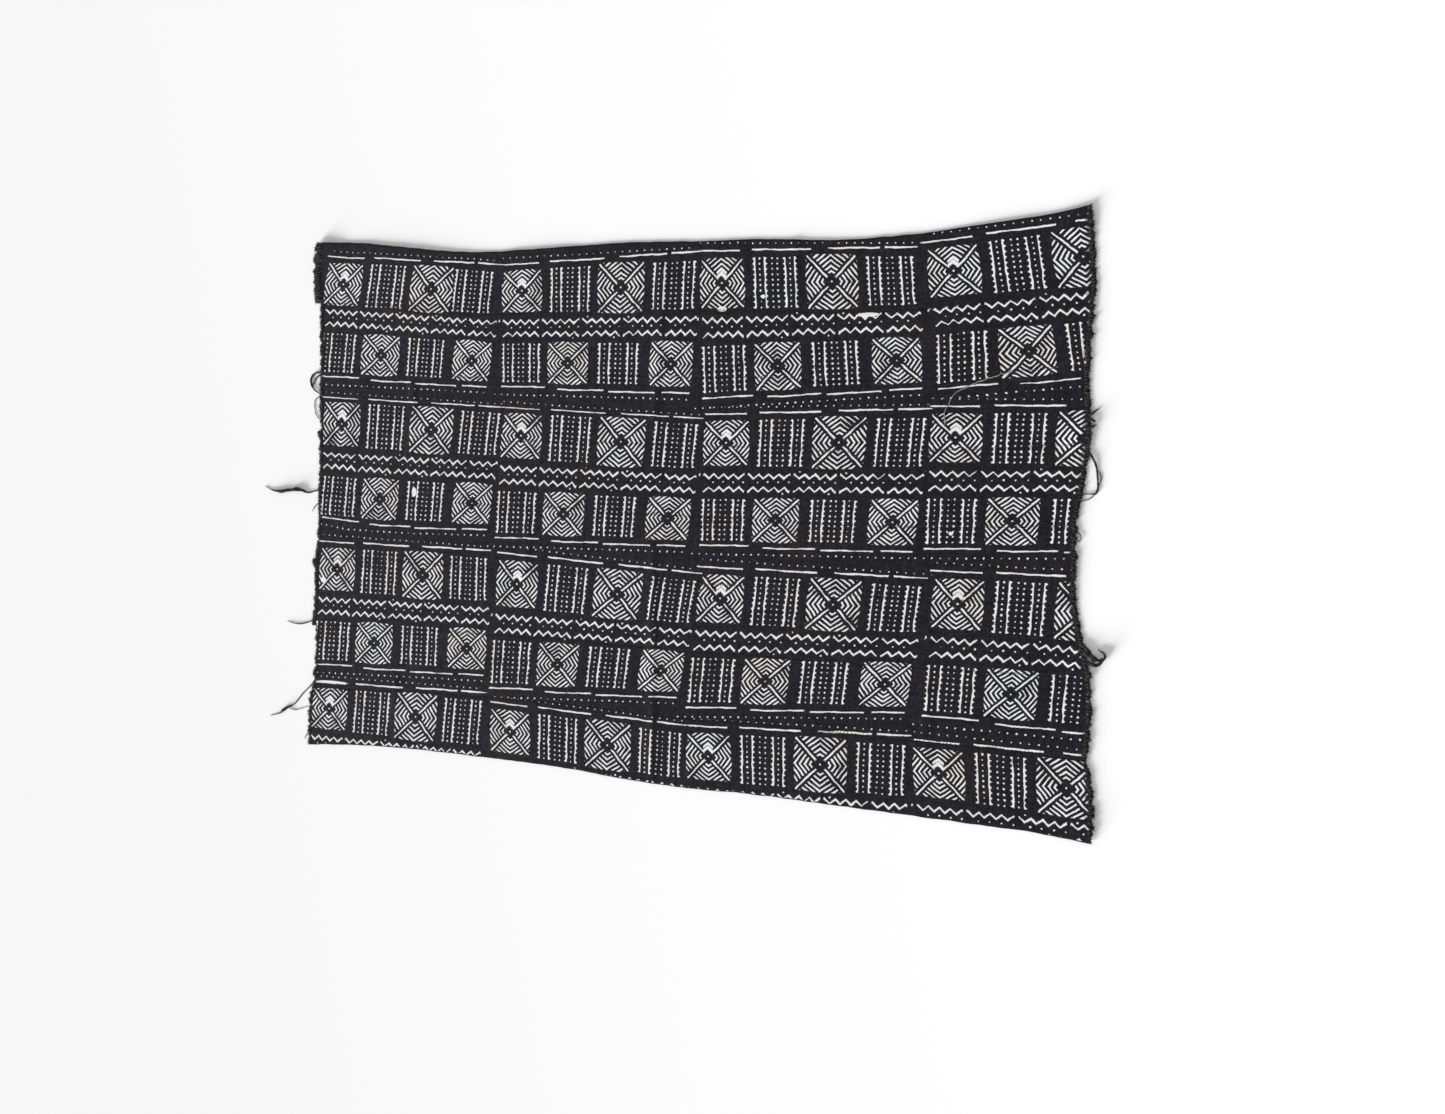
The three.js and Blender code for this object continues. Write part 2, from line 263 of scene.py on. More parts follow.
def cloth_height(x, y):
    """The height of the cloth's underside over the floor."""
    height = np.zeros(np.shape(x))
    for crease in CREASES:
        middle = (crease["start"] + crease["end"]) / 2
        ridge = crease["x"] + crease["lean"] * (y - middle)
        rise = smoothstep(crease["start"] - y, -CREASE_FADE / 2, CREASE_FADE / 2)
        fall = smoothstep(y - crease["end"], -CREASE_FADE / 2, CREASE_FADE / 2)
        height = height + crease["height"] * rise * fall * np.exp(-(((x - ridge) / crease["reach"]) ** 2))
    for lift in LIFTS:
        away = np.hypot(x - lift["x"], y - lift["y"]) / lift["reach"]
        height = height + lift["height"] * np.clip(1 - away * away, 0, 1) ** 2
    return height


def unevenness(x, y):
    """A slow rise and fall of the whole cloth, which is never below 0."""
    spots = zip(np.ravel(x), np.ravel(y))
    values = [noise.noise(Vector((px / UNEVEN_SIZE, py / UNEVEN_SIZE, 0))) for px, py in spots]
    return UNEVEN_HEIGHT * (1 + np.reshape(values, np.shape(x)))


print("creases:", len(CREASES), "lifted places:", len(LIFTS))

# %% [markdown]
# The pattern is one stencil used again and again, four times along the cloth and four times down it. It was
# laid by hand, so each use is a little turned, stretched or slanted. An even array would look printed by a
# machine, so the table gives the centres of the four crossed squares of each use, in millimetres on the
# cloth: two in its upper row and two in its lower row. From them every point of the cloth is given a place
# on the stencil, along it and down it.
#
# The cloth also crept under the brush in a few places. In one motif the stencil slipped as a whole. A pull
# moves the print by a distance that changes down the stencil and fades along it. Its first list holds places
# along the stencil with the share of the pull there, and its second one places down the stencil with the
# pull there, to the right and downwards, in millimetres.

# %% Where the stencil was laid
STENCIL_USES = [
    [
        ((-640, 435), (-437, 414), (-550, 287), (-345, 273)),
        ((-240, 401), (-37, 400), (-141, 265), (65, 260)),
        ((158, 400), (357, 395), (265, 253), (473, 259)),
        ((565, 403), (766, 418), (687, 270), (892, 286)),
    ],
    [
        ((-640, 152), (-432, 141), (-548, 3), (-338, 1)),
        ((-235, 130), (-29, 120), (-143, -15), (67, -17)),
        ((174, 119), (378, 121), (269, -15), (475, -12)),
        ((575, 130), (782, 130), (671, -5), (880, 0)),
    ],
    [
        ((-645, -139), (-445, -142), (-555, -282), (-343, -279)),
        ((-237, -150), (-29, -159), (-148, -297), (61, -293)),
        ((171, -157), (377, -157), (259, -298), (471, -287)),
        ((588, -145), (790, -147), (679, -288), (887, -290)),
    ],
    [
        ((-659, -422), (-455, -421), (-570, -562), (-360, -562)),
        ((-245, -432), (-41, -439), (-145, -573), (63, -577)),
        ((157, -441), (363, -435), (262, -581), (470, -575)),
        ((567, -430), (772, -433), (675, -571), (880, -573)),
    ],
]
UPPER_SQUARES = (43.5, 245.0)
LOWER_SQUARES = (151.0, 359.5)
UPPER_ROW = 43.0
LOWER_ROW = 182.5
SLIPS = [{"use": (0, 0), "start": (292, -6), "end": (412, 92), "move": (12.5, 0)}]
PULLS = [
    {
        "use": (0, 0),
        "along": [(0, 1), (43, 1), (143, 0.5), (245, 0.35), (330, 0)],
        "down": [(-26, 16, 12), (-8, 16, 7), (3, 6.5, 6.5), (92, -6.5, 6.5), (98.5, 0, 0)],
    },
    {
        "use": (0, 0),
        "along": [(0, 1), (100, 1), (130, 0)],
        "down": [(138, 0, 0), (146, -3, 0), (220, -7, 0), (228, -2, 0), (250, 0, 0)],
    },
    {
        "use": (1, 0),
        "along": [(0, 1), (250, 0.75), (400, 0.6)],
        "down": [(-35, 0, 13), (-12, 0, 7), (-2, 0, 3), (3, 0, 0)],
    },
    {
        "use": (1, 0),
        "along": [(0, 1), (40, 0.7), (80, 0.35), (120, 0.2), (250, 0)],
        "down": [
            (98, 0, 0),
            (101, 0, -2.7),
            (122, 0, -5.3),
            (142, 7, -4),
            (213, 0, -7),
            (216, 8, -12),
            (229, 8, -16),
            (262, 0, -16),
        ],
    },
    {"use": (1, 1), "along": [(0, 1), (400, 1)], "down": [(-35, 0, 7), (-12, 0, 5), (0, 0, 0)]},
    {
        "use": (0, 3),
        "along": [(0, 1), (43, 1), (100, 0.3), (160, 0)],
        "down": [(-8, 0, 0), (5, 1, 0), (90, -7, -3), (96.5, -5, 0)],
    },
    {
        "use": (0, 3),
        "along": [(0, 1.1), (50, 1), (95, 0.75), (130, 0)],
        "down": [
            (97, -5, 0),
            (110, -5, -1),
            (128, -5, -4),
            (146, -5, -3),
            (220, -14.5, 0),
            (229, -13, 0),
            (240, -10, 0),
            (262, 0, 0),
        ],
    },
]
STENCIL_MIDDLE = (200.0, 112.5)
STENCIL_REACH = (210.0, 137.5)


def stencil_place(use, x, y):
    """The place on the stencil, along and down, of a point of the cloth under one use of it."""
    (x1, y1), (x2, y2), (x3, y3), (x4, y4) = use
    upper, lower = (x - x1) / (x2 - x1), (x - x3) / (x4 - x3)
    upper_y, lower_y = y1 + (y2 - y1) * upper, y3 + (y4 - y3) * lower
    down = (upper_y - y) / (upper_y - lower_y)
    upper_s = UPPER_SQUARES[0] + (UPPER_SQUARES[1] - UPPER_SQUARES[0]) * upper
    lower_s = LOWER_SQUARES[0] + (LOWER_SQUARES[1] - LOWER_SQUARES[0]) * lower
    return upper_s + (lower_s - upper_s) * down, UPPER_ROW + (LOWER_ROW - UPPER_ROW) * down


def pulled(row, column, place):
    """The place on the stencil once the pulls of this use of it are taken off."""
    moved = place
    for pull in PULLS:
        if pull["use"] == (row, column):
            share = np.interp(place[:, 0], *np.transpose(pull["along"]))
            down, right, lower = np.transpose(pull["down"])
            right, lower = np.interp(place[:, 1], down, right), np.interp(place[:, 1], down, lower)
            within = (place[:, 1] > down[0]) & (place[:, 1] < down[-1])
            moved = moved - (share * within)[:, None] * np.stack([right, lower], 1)
    return moved


def on_stencil(middle, corner, face_of_corner):
    """Each face corner's place on the use of the stencil that lies nearest to the middle of its face."""
    nearest = np.full(len(middle), np.inf)
    place = np.zeros((len(corner), 2))
    for row, uses in enumerate(STENCIL_USES):
        for column, use in enumerate(uses):
            s, t = stencil_place(use, middle[:, 0], middle[:, 1])
            along_off, down_off = abs(s - STENCIL_MIDDLE[0]), abs(t - STENCIL_MIDDLE[1])
            away = np.maximum(along_off / STENCIL_REACH[0], down_off / STENCIL_REACH[1])
            closer = away < nearest
            nearest = np.where(closer, away, nearest)
            here = pulled(row, column, np.stack(stencil_place(use, corner[:, 0], corner[:, 1]), 1))
            for slip in SLIPS:
                if slip["use"] == (row, column):
                    (s_start, t_start), (s_end, t_end) = slip["start"], slip["end"]
                    inside = (s > s_start) & (s < s_end) & (t > t_start) & (t < t_end)
                    here = here + np.outer(inside[face_of_corner], slip["move"])
            place = np.where(closer[face_of_corner][:, None], here, place)
    return place


print("uses of the stencil:", sum(len(row) for row in STENCIL_USES))

# %% [markdown]
# The stencil itself is drawn with node math, in its own millimetres: along it from 0 to 401 and down it from
# its first row of squares. It could be painted as a picture, but a drawing in numbers stays sharp close up.
# Every cut-out is a field that says how far inside the cut a point is, so the union of cuts is a maximum and
# what lies in both is a minimum. The edge can then be worn by adding a little noise to the field, which is
# what rough cloth does to paint.
#
# The main motif is a square of chevrons in four quarters. Folding its plane along both axes and both
# diagonals leaves one eighth of it, so one set of rings draws them all.

# %% Crossed square
STROKE_HALF = 1.55
STROKE_PITCH = 8.4
FIRST_STROKE = 8.5
STROKE_SLOPE = 0.74
SQUARE_HALF = 43.8
SQUARE_BULGE = 0.05
ARM_HALF = 1.42
ARM_CLEAR = 8.4
ARM_START = 7.5
ARM_END = 41.0
HEART = 13.0
SQUARE_DOT = 1.5
FILLED_RING = 19.0
FILLED_HALF = 6.0
FILLED_WIDTH = 9.5
BLOT_SWELL = 1.9
NEVER = 100.0
# The rings are too fine to show at the left end of the cloth, which is furthest from the camera. Between
# these two places along the cloth, in metres, they grow coarser by up to this much.
COARSE_FROM = -0.24
COARSE_TO = -0.64
COARSEST = 1.08


def new_group(name, inputs):
    group = bpy.data.node_groups.new(name, "ShaderNodeTree")
    for label in inputs:
        group.interface.new_socket(label, in_out="INPUT", socket_type="NodeSocketFloat")
    group.interface.new_socket("inside", in_out="OUTPUT", socket_type="NodeSocketFloat")
    return group, add(group, "NodeGroupInput")


def crossed_square():
    """Rings of chevrons in four quarters, two diagonal arms and a dot in a dark centre. In a filled one the
    inner strokes of the upper quarter are swollen with paint, so that they run together."""
    g, given = new_group("crossed_square", ["x", "y", "filled"])
    x, y, filled = given.outputs[:3]
    p = add(g, MATH, x, operation="ABSOLUTE")
    q = add(g, MATH, y, operation="ABSOLUTE")
    large = add(g, MATH, p, q, operation="MAXIMUM")
    small = add(g, MATH, p, q, operation="MINIMUM")
    where = add(g, "ShaderNodeTexCoord").outputs["Object"]
    along_cloth = add(g, "ShaderNodeSeparateXYZ", where)
    coarse = add(g, RANGE, along_cloth, COARSE_FROM, COARSE_TO, 1.0, COARSEST)
    ring = add(g, MATH, small, STROKE_SLOPE, large, operation="MULTIPLY_ADD")
    ring = add(g, MATH, ring, coarse, operation="DIVIDE")
    ring_place = add(g, MATH, ring, FIRST_STROKE, operation="SUBTRACT")
    ring_away = add(g, MATH, ring_place, STROKE_PITCH / 2, operation="PINGPONG")
    stroke = add(g, MATH, STROKE_HALF, ring_away, operation="SUBTRACT")
    swollen = add(g, MATH, stroke, BLOT_SWELL, operation="ADD")
    bulging = add(g, MATH, small, SQUARE_BULGE, large, operation="MULTIPLY_ADD")
    edge = add(g, MATH, SQUARE_HALF, bulging, operation="SUBTRACT")
    off_arm = add(g, MATH, large, small, operation="SUBTRACT")
    clear = add(g, MATH, off_arm, ARM_CLEAR, operation="SUBTRACT")
    outside_heart = add(g, MATH, ring, HEART, operation="SUBTRACT")
    stroke = add(g, MATH, stroke, edge, operation="MINIMUM")
    stroke = add(g, MATH, stroke, clear, operation="MINIMUM")
    stroke = add(g, MATH, stroke, outside_heart, operation="MINIMUM")
    from_blot = add(g, MATH, ring, FILLED_RING, operation="SUBTRACT")
    from_blot = add(g, MATH, from_blot, operation="ABSOLUTE")
    blot = add(g, MATH, FILLED_HALF, from_blot, operation="SUBTRACT")
    blot = add(g, MATH, blot, swollen, operation="MINIMUM")
    below_quarter = add(g, MATH, y, p, operation="ADD")
    in_quarter = add(g, MATH, 0.0, below_quarter, operation="SUBTRACT")
    allowed = add(g, MATH, filled, 2 * NEVER, -NEVER, operation="MULTIPLY_ADD")
    narrow = add(g, MATH, FILLED_WIDTH, p, operation="SUBTRACT")
    blot = add(g, MATH, blot, narrow, operation="MINIMUM")
    blot = add(g, MATH, blot, in_quarter, operation="MINIMUM")
    blot = add(g, MATH, blot, allowed, operation="MINIMUM")
    arm_away = add(g, MATH, off_arm, math.sqrt(0.5), operation="MULTIPLY")
    arm = add(g, MATH, ARM_HALF, arm_away, operation="SUBTRACT")
    arm_end = add(g, MATH, ARM_END, large, operation="SUBTRACT")
    arm_start = add(g, MATH, large, ARM_START, operation="SUBTRACT")
    arm = add(g, MATH, arm, arm_end, operation="MINIMUM")
    arm = add(g, MATH, arm, arm_start, operation="MINIMUM")
    place = add(g, "ShaderNodeCombineXYZ", x, y, 0.0)
    from_middle = add(g, VECTOR, place, operation="LENGTH")
    inside = add(g, MATH, SQUARE_DOT, from_middle.outputs["Value"], operation="SUBTRACT")
    for part in (stroke, blot, arm):
        inside = add(g, MATH, inside, part, operation="MAXIMUM")
    add(g, "NodeGroupOutput", inside)
    return g


# %% [markdown]
# Beside each square stand four bars with teeth on one side, and between them columns of dots. The teeth and
# the dots could be placed one by one. They all keep the same beat down the cloth, so one coordinate that
# folds back on itself draws them all.

# %% Toothed bars
BAR_HALF = 1.16
TOOTH_PITCH = 8.95
TOOTH_LENGTH = 3.0
TOOTH_SHARPNESS = 1.9
BARS = [(-37.2, -1), (-18.2, 1), (19.0, -1), (37.2, 1)]
DOT_COLUMNS = [-27.8, -5.0, 4.8, 27.8]
DOT_HALF = 1.38


def toothed_bars():
    """Four upright bars, each with a row of teeth on one side, and four columns of dots between them."""
    g, given = new_group("toothed_bars", ["x", "y", "half_height", "shift"])
    x, y, half_height, shift = given.outputs[:4]
    shifted = add(g, MATH, y, shift, operation="ADD")
    beat = add(g, MATH, shifted, TOOTH_PITCH / 2, operation="PINGPONG")
    fall = add(g, MATH, beat, TOOTH_SHARPNESS * 2 / TOOTH_PITCH, operation="MULTIPLY")
    peak = add(g, MATH, 1.0, fall, operation="SUBTRACT", use_clamp=True)
    tooth = add(g, MATH, peak, TOOTH_LENGTH, BAR_HALF, operation="MULTIPLY_ADD")
    inside = None
    for centre, side in BARS:
        off = add(g, MATH, x, side, -side * centre, operation="MULTIPLY_ADD")
        outer = add(g, MATH, tooth, off, operation="SUBTRACT")
        inner = add(g, MATH, off, BAR_HALF, operation="ADD")
        bar = add(g, MATH, outer, inner, operation="MINIMUM")
        inside = bar if inside is None else add(g, MATH, inside, bar, operation="MAXIMUM")
    nearest = None
    for column in DOT_COLUMNS:
        off = add(g, MATH, x, column, operation="SUBTRACT")
        away = add(g, MATH, off, operation="ABSOLUTE")
        nearest = away if nearest is None else add(g, MATH, nearest, away, operation="MINIMUM")
    place = add(g, "ShaderNodeCombineXYZ", nearest, beat, 0.0)
    from_dot = add(g, VECTOR, place, operation="LENGTH")
    dot = add(g, MATH, DOT_HALF, from_dot.outputs["Value"], operation="SUBTRACT")
    inside = add(g, MATH, inside, dot, operation="MAXIMUM")
    height = add(g, MATH, y, operation="ABSOLUTE")
    edge = add(g, MATH, half_height, height, operation="SUBTRACT")
    inside = add(g, MATH, inside, edge, operation="MINIMUM")
    add(g, "NodeGroupOutput", inside)
    return g


# %% [markdown]
# Between the two rows of squares run two zigzags with dots between them, cut in five lengths, and above and
# below the rows run four dashes and a line of dots. The even ones are folded coordinates again. The dashes
# and the few lone dots keep no beat, so they are listed.

# %% Zigzags, dashes and dots
ZIGZAG_SEGMENT = 83.0
ZIGZAG_GAP = 8.5
ZIGZAG_WAVES = 4
ZIGZAG_RISE = 8.0
ZIGZAG_HALF = 1.28
ZIGZAG_ENDS = 1.0
UPPER_ZIGZAG = {"down": 103.5, "shift": 4.4, "turn": 1, "start": -1.0, "end": 399.0}
LOWER_ZIGZAG = {"down": 126.8, "shift": 6.9, "turn": -1, "start": 7.5, "end": 402.0}
ZIGZAG_DOTS_DOWN = 113.8
ZIGZAG_DOTS_REACH = 190.0
FIRST_DOT = 8.0
UPPER_DASH_HALF = 1.28
LOWER_DASH_HALF = 1.18
DASHES = [
    {"start": -9, "end": 76, "down": -10},
    {"start": 98, "end": 206, "down": -12},
    {"start": 237, "end": 328, "down": -14},
    {"start": 337, "end": 393, "down": -15},
    {"start": 13, "end": 107, "down": 229},
    {"start": 134, "end": 230, "down": 233},
    {"start": 240, "end": 334, "down": 235},
    {"start": 348, "end": 402, "down": 234},
]
LONE_DOTS = [(184, 95), (266, 97), (158, 134), (241, 134)]
DOT_LINES = [{"down": -22.5, "pitch": 14.2, "half": 1.06}, {"down": 245.5, "pitch": 14.2, "half": 1.3}]
DOT_LINES_REACH = 203.0


def zigzag(g, s, t, line):
    """A zigzag line, its beat, which is 0 where a dot may lie, and where each length lets dots begin."""
    local = add(g, MATH, s, line["shift"], operation="SUBTRACT")
    share = add(g, MATH, local, 1 / ZIGZAG_SEGMENT, operation="MULTIPLY")
    share = add(g, MATH, share, operation="FRACT")
    gap = ZIGZAG_GAP / ZIGZAG_SEGMENT / 2
    waves = ZIGZAG_WAVES / (1 - 2 * gap)
    wave = add(g, MATH, share, waves, -gap * waves, operation="MULTIPLY_ADD")
    beat = add(g, MATH, wave, 0.5, operation="PINGPONG")
    swing = 2 * ZIGZAG_RISE * line["turn"]
    centre = add(g, MATH, beat, swing, line["down"] - swing / 4, operation="MULTIPLY_ADD")
    off = add(g, MATH, t, centre, operation="SUBTRACT")
    away = add(g, MATH, off, operation="ABSOLUTE")
    inside = add(g, MATH, away, -math.sqrt(0.5), ZIGZAG_HALF, operation="MULTIPLY_ADD")
    from_gap = add(g, MATH, share, 0.5, operation="SUBTRACT")
    from_gap = add(g, MATH, from_gap, operation="ABSOLUTE")
    length_half = (0.5 - gap) * ZIGZAG_SEGMENT + ZIGZAG_ENDS
    cut = add(g, MATH, from_gap, -ZIGZAG_SEGMENT, length_half, operation="MULTIPLY_ADD")
    inside = add(g, MATH, inside, cut, operation="MINIMUM")
    middle, half = (line["start"] + line["end"]) / 2, (line["end"] - line["start"]) / 2
    late = add(g, MATH, share, ZIGZAG_SEGMENT, -FIRST_DOT, operation="MULTIPLY_ADD")
    return add(g, MATH, inside, span(g, s, middle, half), operation="MINIMUM"), beat, late


def span(g, value, middle, half):
    """How far inside a stretch of the given half length a value is."""
    off = add(g, MATH, value, middle, operation="SUBTRACT")
    away = add(g, MATH, off, operation="ABSOLUTE")
    return add(g, MATH, half, away, operation="SUBTRACT")


def dot_field(g, across, along, half):
    """How far inside a round dot a point is."""
    place = add(g, "ShaderNodeCombineXYZ", across, along, 0.0)
    away = add(g, VECTOR, place, operation="LENGTH")
    return add(g, MATH, half, away.outputs["Value"], operation="SUBTRACT")


def bands():
    """The zigzags, dashes, lines of dots and lone dots of the whole stencil."""
    g, given = new_group("bands", ["s", "t"])
    s, t = given.outputs[:2]
    upper, beat, late = zigzag(g, s, t, UPPER_ZIGZAG)
    lower, _, _ = zigzag(g, s, t, LOWER_ZIGZAG)
    inside = add(g, MATH, upper, lower, operation="MAXIMUM")
    wave_length = (ZIGZAG_SEGMENT - ZIGZAG_GAP) / ZIGZAG_WAVES
    along = add(g, MATH, beat, wave_length, operation="MULTIPLY")
    across = add(g, MATH, t, ZIGZAG_DOTS_DOWN, operation="SUBTRACT")
    dots = dot_field(g, across, along, DOT_HALF)
    dots = add(g, MATH, dots, span(g, s, STENCIL_MIDDLE[0], ZIGZAG_DOTS_REACH), operation="MINIMUM")
    dots = add(g, MATH, dots, late, operation="MINIMUM")
    inside = add(g, MATH, inside, dots, operation="MAXIMUM")
    for line in DASHES:
        half = UPPER_DASH_HALF if line["down"] < UPPER_ROW else LOWER_DASH_HALF
        thick = span(g, t, line["down"], half)
        length = span(g, s, (line["start"] + line["end"]) / 2, (line["end"] - line["start"]) / 2)
        dash = add(g, MATH, thick, length, operation="MINIMUM")
        inside = add(g, MATH, inside, dash, operation="MAXIMUM")
    for line in DOT_LINES:
        along = add(g, MATH, s, line["pitch"] / 2, operation="PINGPONG")
        across = add(g, MATH, t, line["down"], operation="SUBTRACT")
        dots = dot_field(g, across, along, line["half"])
        dots = add(g, MATH, dots, span(g, s, STENCIL_MIDDLE[0], DOT_LINES_REACH), operation="MINIMUM")
        inside = add(g, MATH, inside, dots, operation="MAXIMUM")
    for dot_s, dot_t in LONE_DOTS:
        along = add(g, MATH, s, dot_s, operation="SUBTRACT")
        across = add(g, MATH, t, dot_t, operation="SUBTRACT")
        inside = add(g, MATH, inside, dot_field(g, across, along, DOT_HALF), operation="MAXIMUM")
    add(g, "NodeGroupOutput", inside)
    return g


# %% [markdown]
# The whole stencil puts these together. A point under the upper row of squares reads the squares and bars
# of that row, and one further down reads those of the lower row, so one drawing of each motif serves both.
# Four drawings side by side would cost twice the nodes and take longer to render. The second square of the
# upper row was cut larger than the others, and the first one is the filled one.

# %% The whole stencil
ROW_BREAK = 114.0
LEAN = 0.07
SQUARE_WIDTHS = {"upper": (0.975, 1.065), "lower": (0.975, 0.965)}
SQUARE_HEIGHTS = {"upper": (0.955, 1.08), "lower": (0.925, 0.945)}
UPPER_BARS = (143.2, 347.6)
LOWER_BARS = (52.3, 254.0)
UPPER_BAR_HEIGHT = 42.0
LOWER_BAR_HEIGHT = 37.8


def pick(g, s, edge, first, second):
    """One value before the edge and another after it."""
    after = add(g, MATH, s, edge, operation="GREATER_THAN")
    return add(g, MATH, after, second - first, first, operation="MULTIPLY_ADD")


def blend(g, share, first, second):
    """Two fields mixed by a share."""
    difference = add(g, MATH, second, first, operation="SUBTRACT")
    return add(g, MATH, difference, share, first, operation="MULTIPLY_ADD")


def choose(g, s, lower, upper_pair, lower_pair, upper_places, lower_places):
    """One of four values: for the upper or the lower row, and there for the first or the second motif."""
    upper_edge, lower_edge = sum(upper_places) / 2, sum(lower_places) / 2
    return blend(g, lower, pick(g, s, upper_edge, *upper_pair), pick(g, s, lower_edge, *lower_pair))


def whole_stencil():
    """The stencil as one group, from a place along and down it to how far inside a cut that place is."""
    square, bars, band = crossed_square(), toothed_bars(), bands()
    g, given = new_group("stencil", ["s", "t"])
    s, t = given.outputs[:2]
    lower = add(g, MATH, t, ROW_BREAK, operation="GREATER_THAN")
    row = add(g, MATH, lower, LOWER_ROW - UPPER_ROW, UPPER_ROW, operation="MULTIPLY_ADD")
    down = add(g, MATH, t, row, operation="SUBTRACT")
    upright_s = add(g, MATH, down, -LEAN, s, operation="MULTIPLY_ADD")
    at_squares = (UPPER_SQUARES, LOWER_SQUARES)
    square_at = choose(g, s, lower, *at_squares, *at_squares)
    wide = choose(g, s, lower, *SQUARE_WIDTHS.values(), *at_squares)
    high = choose(g, s, lower, *SQUARE_HEIGHTS.values(), *at_squares)
    filled = choose(g, s, lower, (1.0, 0.0), (0.0, 0.0), *at_squares)
    along = add(g, MATH, upright_s, square_at, operation="SUBTRACT")
    square_x = add(g, MATH, along, wide, operation="DIVIDE")
    square_y = add(g, MATH, down, high, operation="DIVIDE")
    squares = add(g, "ShaderNodeGroup", node_tree=square)
    for place, value in enumerate((square_x, square_y, filled)):
        g.links.new(value.outputs[0], squares.inputs[place])
    bars_at = choose(g, s, lower, UPPER_BARS, LOWER_BARS, UPPER_BARS, LOWER_BARS)
    bar_x = add(g, MATH, upright_s, bars_at, operation="SUBTRACT")
    tall = LOWER_BAR_HEIGHT - UPPER_BAR_HEIGHT
    half_height = add(g, MATH, lower, tall, UPPER_BAR_HEIGHT, operation="MULTIPLY_ADD")
    shift = add(g, MATH, lower, -TOOTH_PITCH / 2, TOOTH_PITCH / 2, operation="MULTIPLY_ADD")
    toothed = add(g, "ShaderNodeGroup", node_tree=bars)
    for place, value in enumerate((bar_x, down, half_height, shift)):
        g.links.new(value.outputs[0], toothed.inputs[place])
    banded = add(g, "ShaderNodeGroup", node_tree=band)
    g.links.new(s, banded.inputs[0])
    g.links.new(t, banded.inputs[1])
    inside = add(g, MATH, squares, toothed, operation="MAXIMUM")
    inside = add(g, MATH, inside, banded, operation="MAXIMUM")
    add(g, "NodeGroupOutput", inside)
    return g


stencil_group = whole_stencil()
print("stencil nodes:", sum(len(g.nodes) for g in bpy.data.node_groups))

# %% [markdown]
# Hand-spun cotton in a plain weave. The yarns are about 1.4 mm apart, uneven in thickness, so the cloth shows
# faint streaks both ways. Yarns modelled one by one would be millions of faces, so the weave is a height
# field on the sheet's own map. Single yarns are too fine to show from where the camera stands, so the streaks
# and the grain of the dye are drawn coarser, at 3 to 5 mm. Its black is a dye, not a coat: it has almost no
# gloss, and it turns browner where the mud was stronger. The white is a thick matt paint brushed through the
# stencil. It sits on the crests of the yarns, its edges are ragged, and here and there the brush ran dry.

# %% Weave
YARN_PITCH = 1.4
WEAVE_MAP = "weave"
STENCIL_MAP = "stencil"
CROSSING_RISE = 0.35
SHEEN_ROUGHNESS = 0.6


def weave_height(tree, u, v):
    """Height of a plain weave: each yarn goes over one and under the next."""
    turns = [add(tree, MATH, value, math.pi / YARN_PITCH, operation="MULTIPLY") for value in (u, v)]
    waves = [add(tree, MATH, turn, operation="SINE") for turn in turns]
    over = add(tree, MATH, *waves, operation="MULTIPLY")
    rounds = [add(tree, MATH, wave, operation="ABSOLUTE") for wave in waves]
    crown = add(tree, MATH, *rounds, operation="MAXIMUM")
    return add(tree, MATH, over, CROSSING_RISE, crown, operation="MULTIPLY_ADD")


def new_material(name):
    """An empty material and its node tree."""
    material = bpy.data.materials.new(name)
    material.use_nodes = True
    material.node_tree.nodes.clear()
    return material, material.node_tree


def finish_material(tree, colour, rough, sheen, gloss, height, depth):
    """The shader of a matt fibre surface: a colour, its bump and a little fuzz."""
    bump = add(tree, "ShaderNodeBump", 1.0, depth)
    tree.links.new(height.outputs[0], bump.inputs["Height"])
    shader = add(tree, "ShaderNodeBsdfPrincipled", colour)
    shader.inputs["Roughness"].default_value = rough
    shader.inputs["Specular IOR Level"].default_value = gloss
    shader.inputs["Sheen Weight"].default_value = sheen
    shader.inputs["Sheen Roughness"].default_value = SHEEN_ROUGHNESS
    tree.links.new(bump.outputs[0], shader.inputs["Normal"])
    output = add(tree, "ShaderNodeOutputMaterial")
    tree.links.new(shader.outputs[0], output.inputs["Surface"])


# %% The dye, with a painted sheen
COTTON_BLACK = "#1b1b22"
COTTON_BROWN = "#201e22"
MOTTLE_SIZE = 0.22
MOTTLE_SPAN = (0.38, 0.7)
STREAK_LENGTH = 60.0
STREAK_WIDTH = 3.0
STREAK_SPAN = (0.6, 1.4)
STREAK_LIGHT = (0.5, 1.56)
GRAIN_SIZE = 4.5
GRAIN_SPAN = (0.3, 0.7)
GRAIN_LIGHT = (0.4, 1.6)
# Painted sheen: the dye is drawn lighter at the left end, which the camera sees at a grazing angle, than at
# the right one. The two places are in metres.
PAINTED_SHEEN_SPAN = (-0.7, 0.8)
PAINTED_SHEEN_LIGHT = (1.3, 0.92)


def streaks(tree, u, v):
    """Uneven yarns: long thin noise along one set of yarns, and along the other."""
    total = None
    for first, second in ((STREAK_LENGTH, STREAK_WIDTH), (STREAK_WIDTH, STREAK_LENGTH)):
        long_u = add(tree, MATH, u, first, operation="DIVIDE")
        long_v = add(tree, MATH, v, second, operation="DIVIDE")
        place = add(tree, "ShaderNodeCombineXYZ", long_u, long_v, first)
        streak = add(tree, NOISE, place, None, 1.0, 2.0, 0.6)
        total = streak if total is None else add(tree, MATH, total, streak, operation="ADD")
    return total


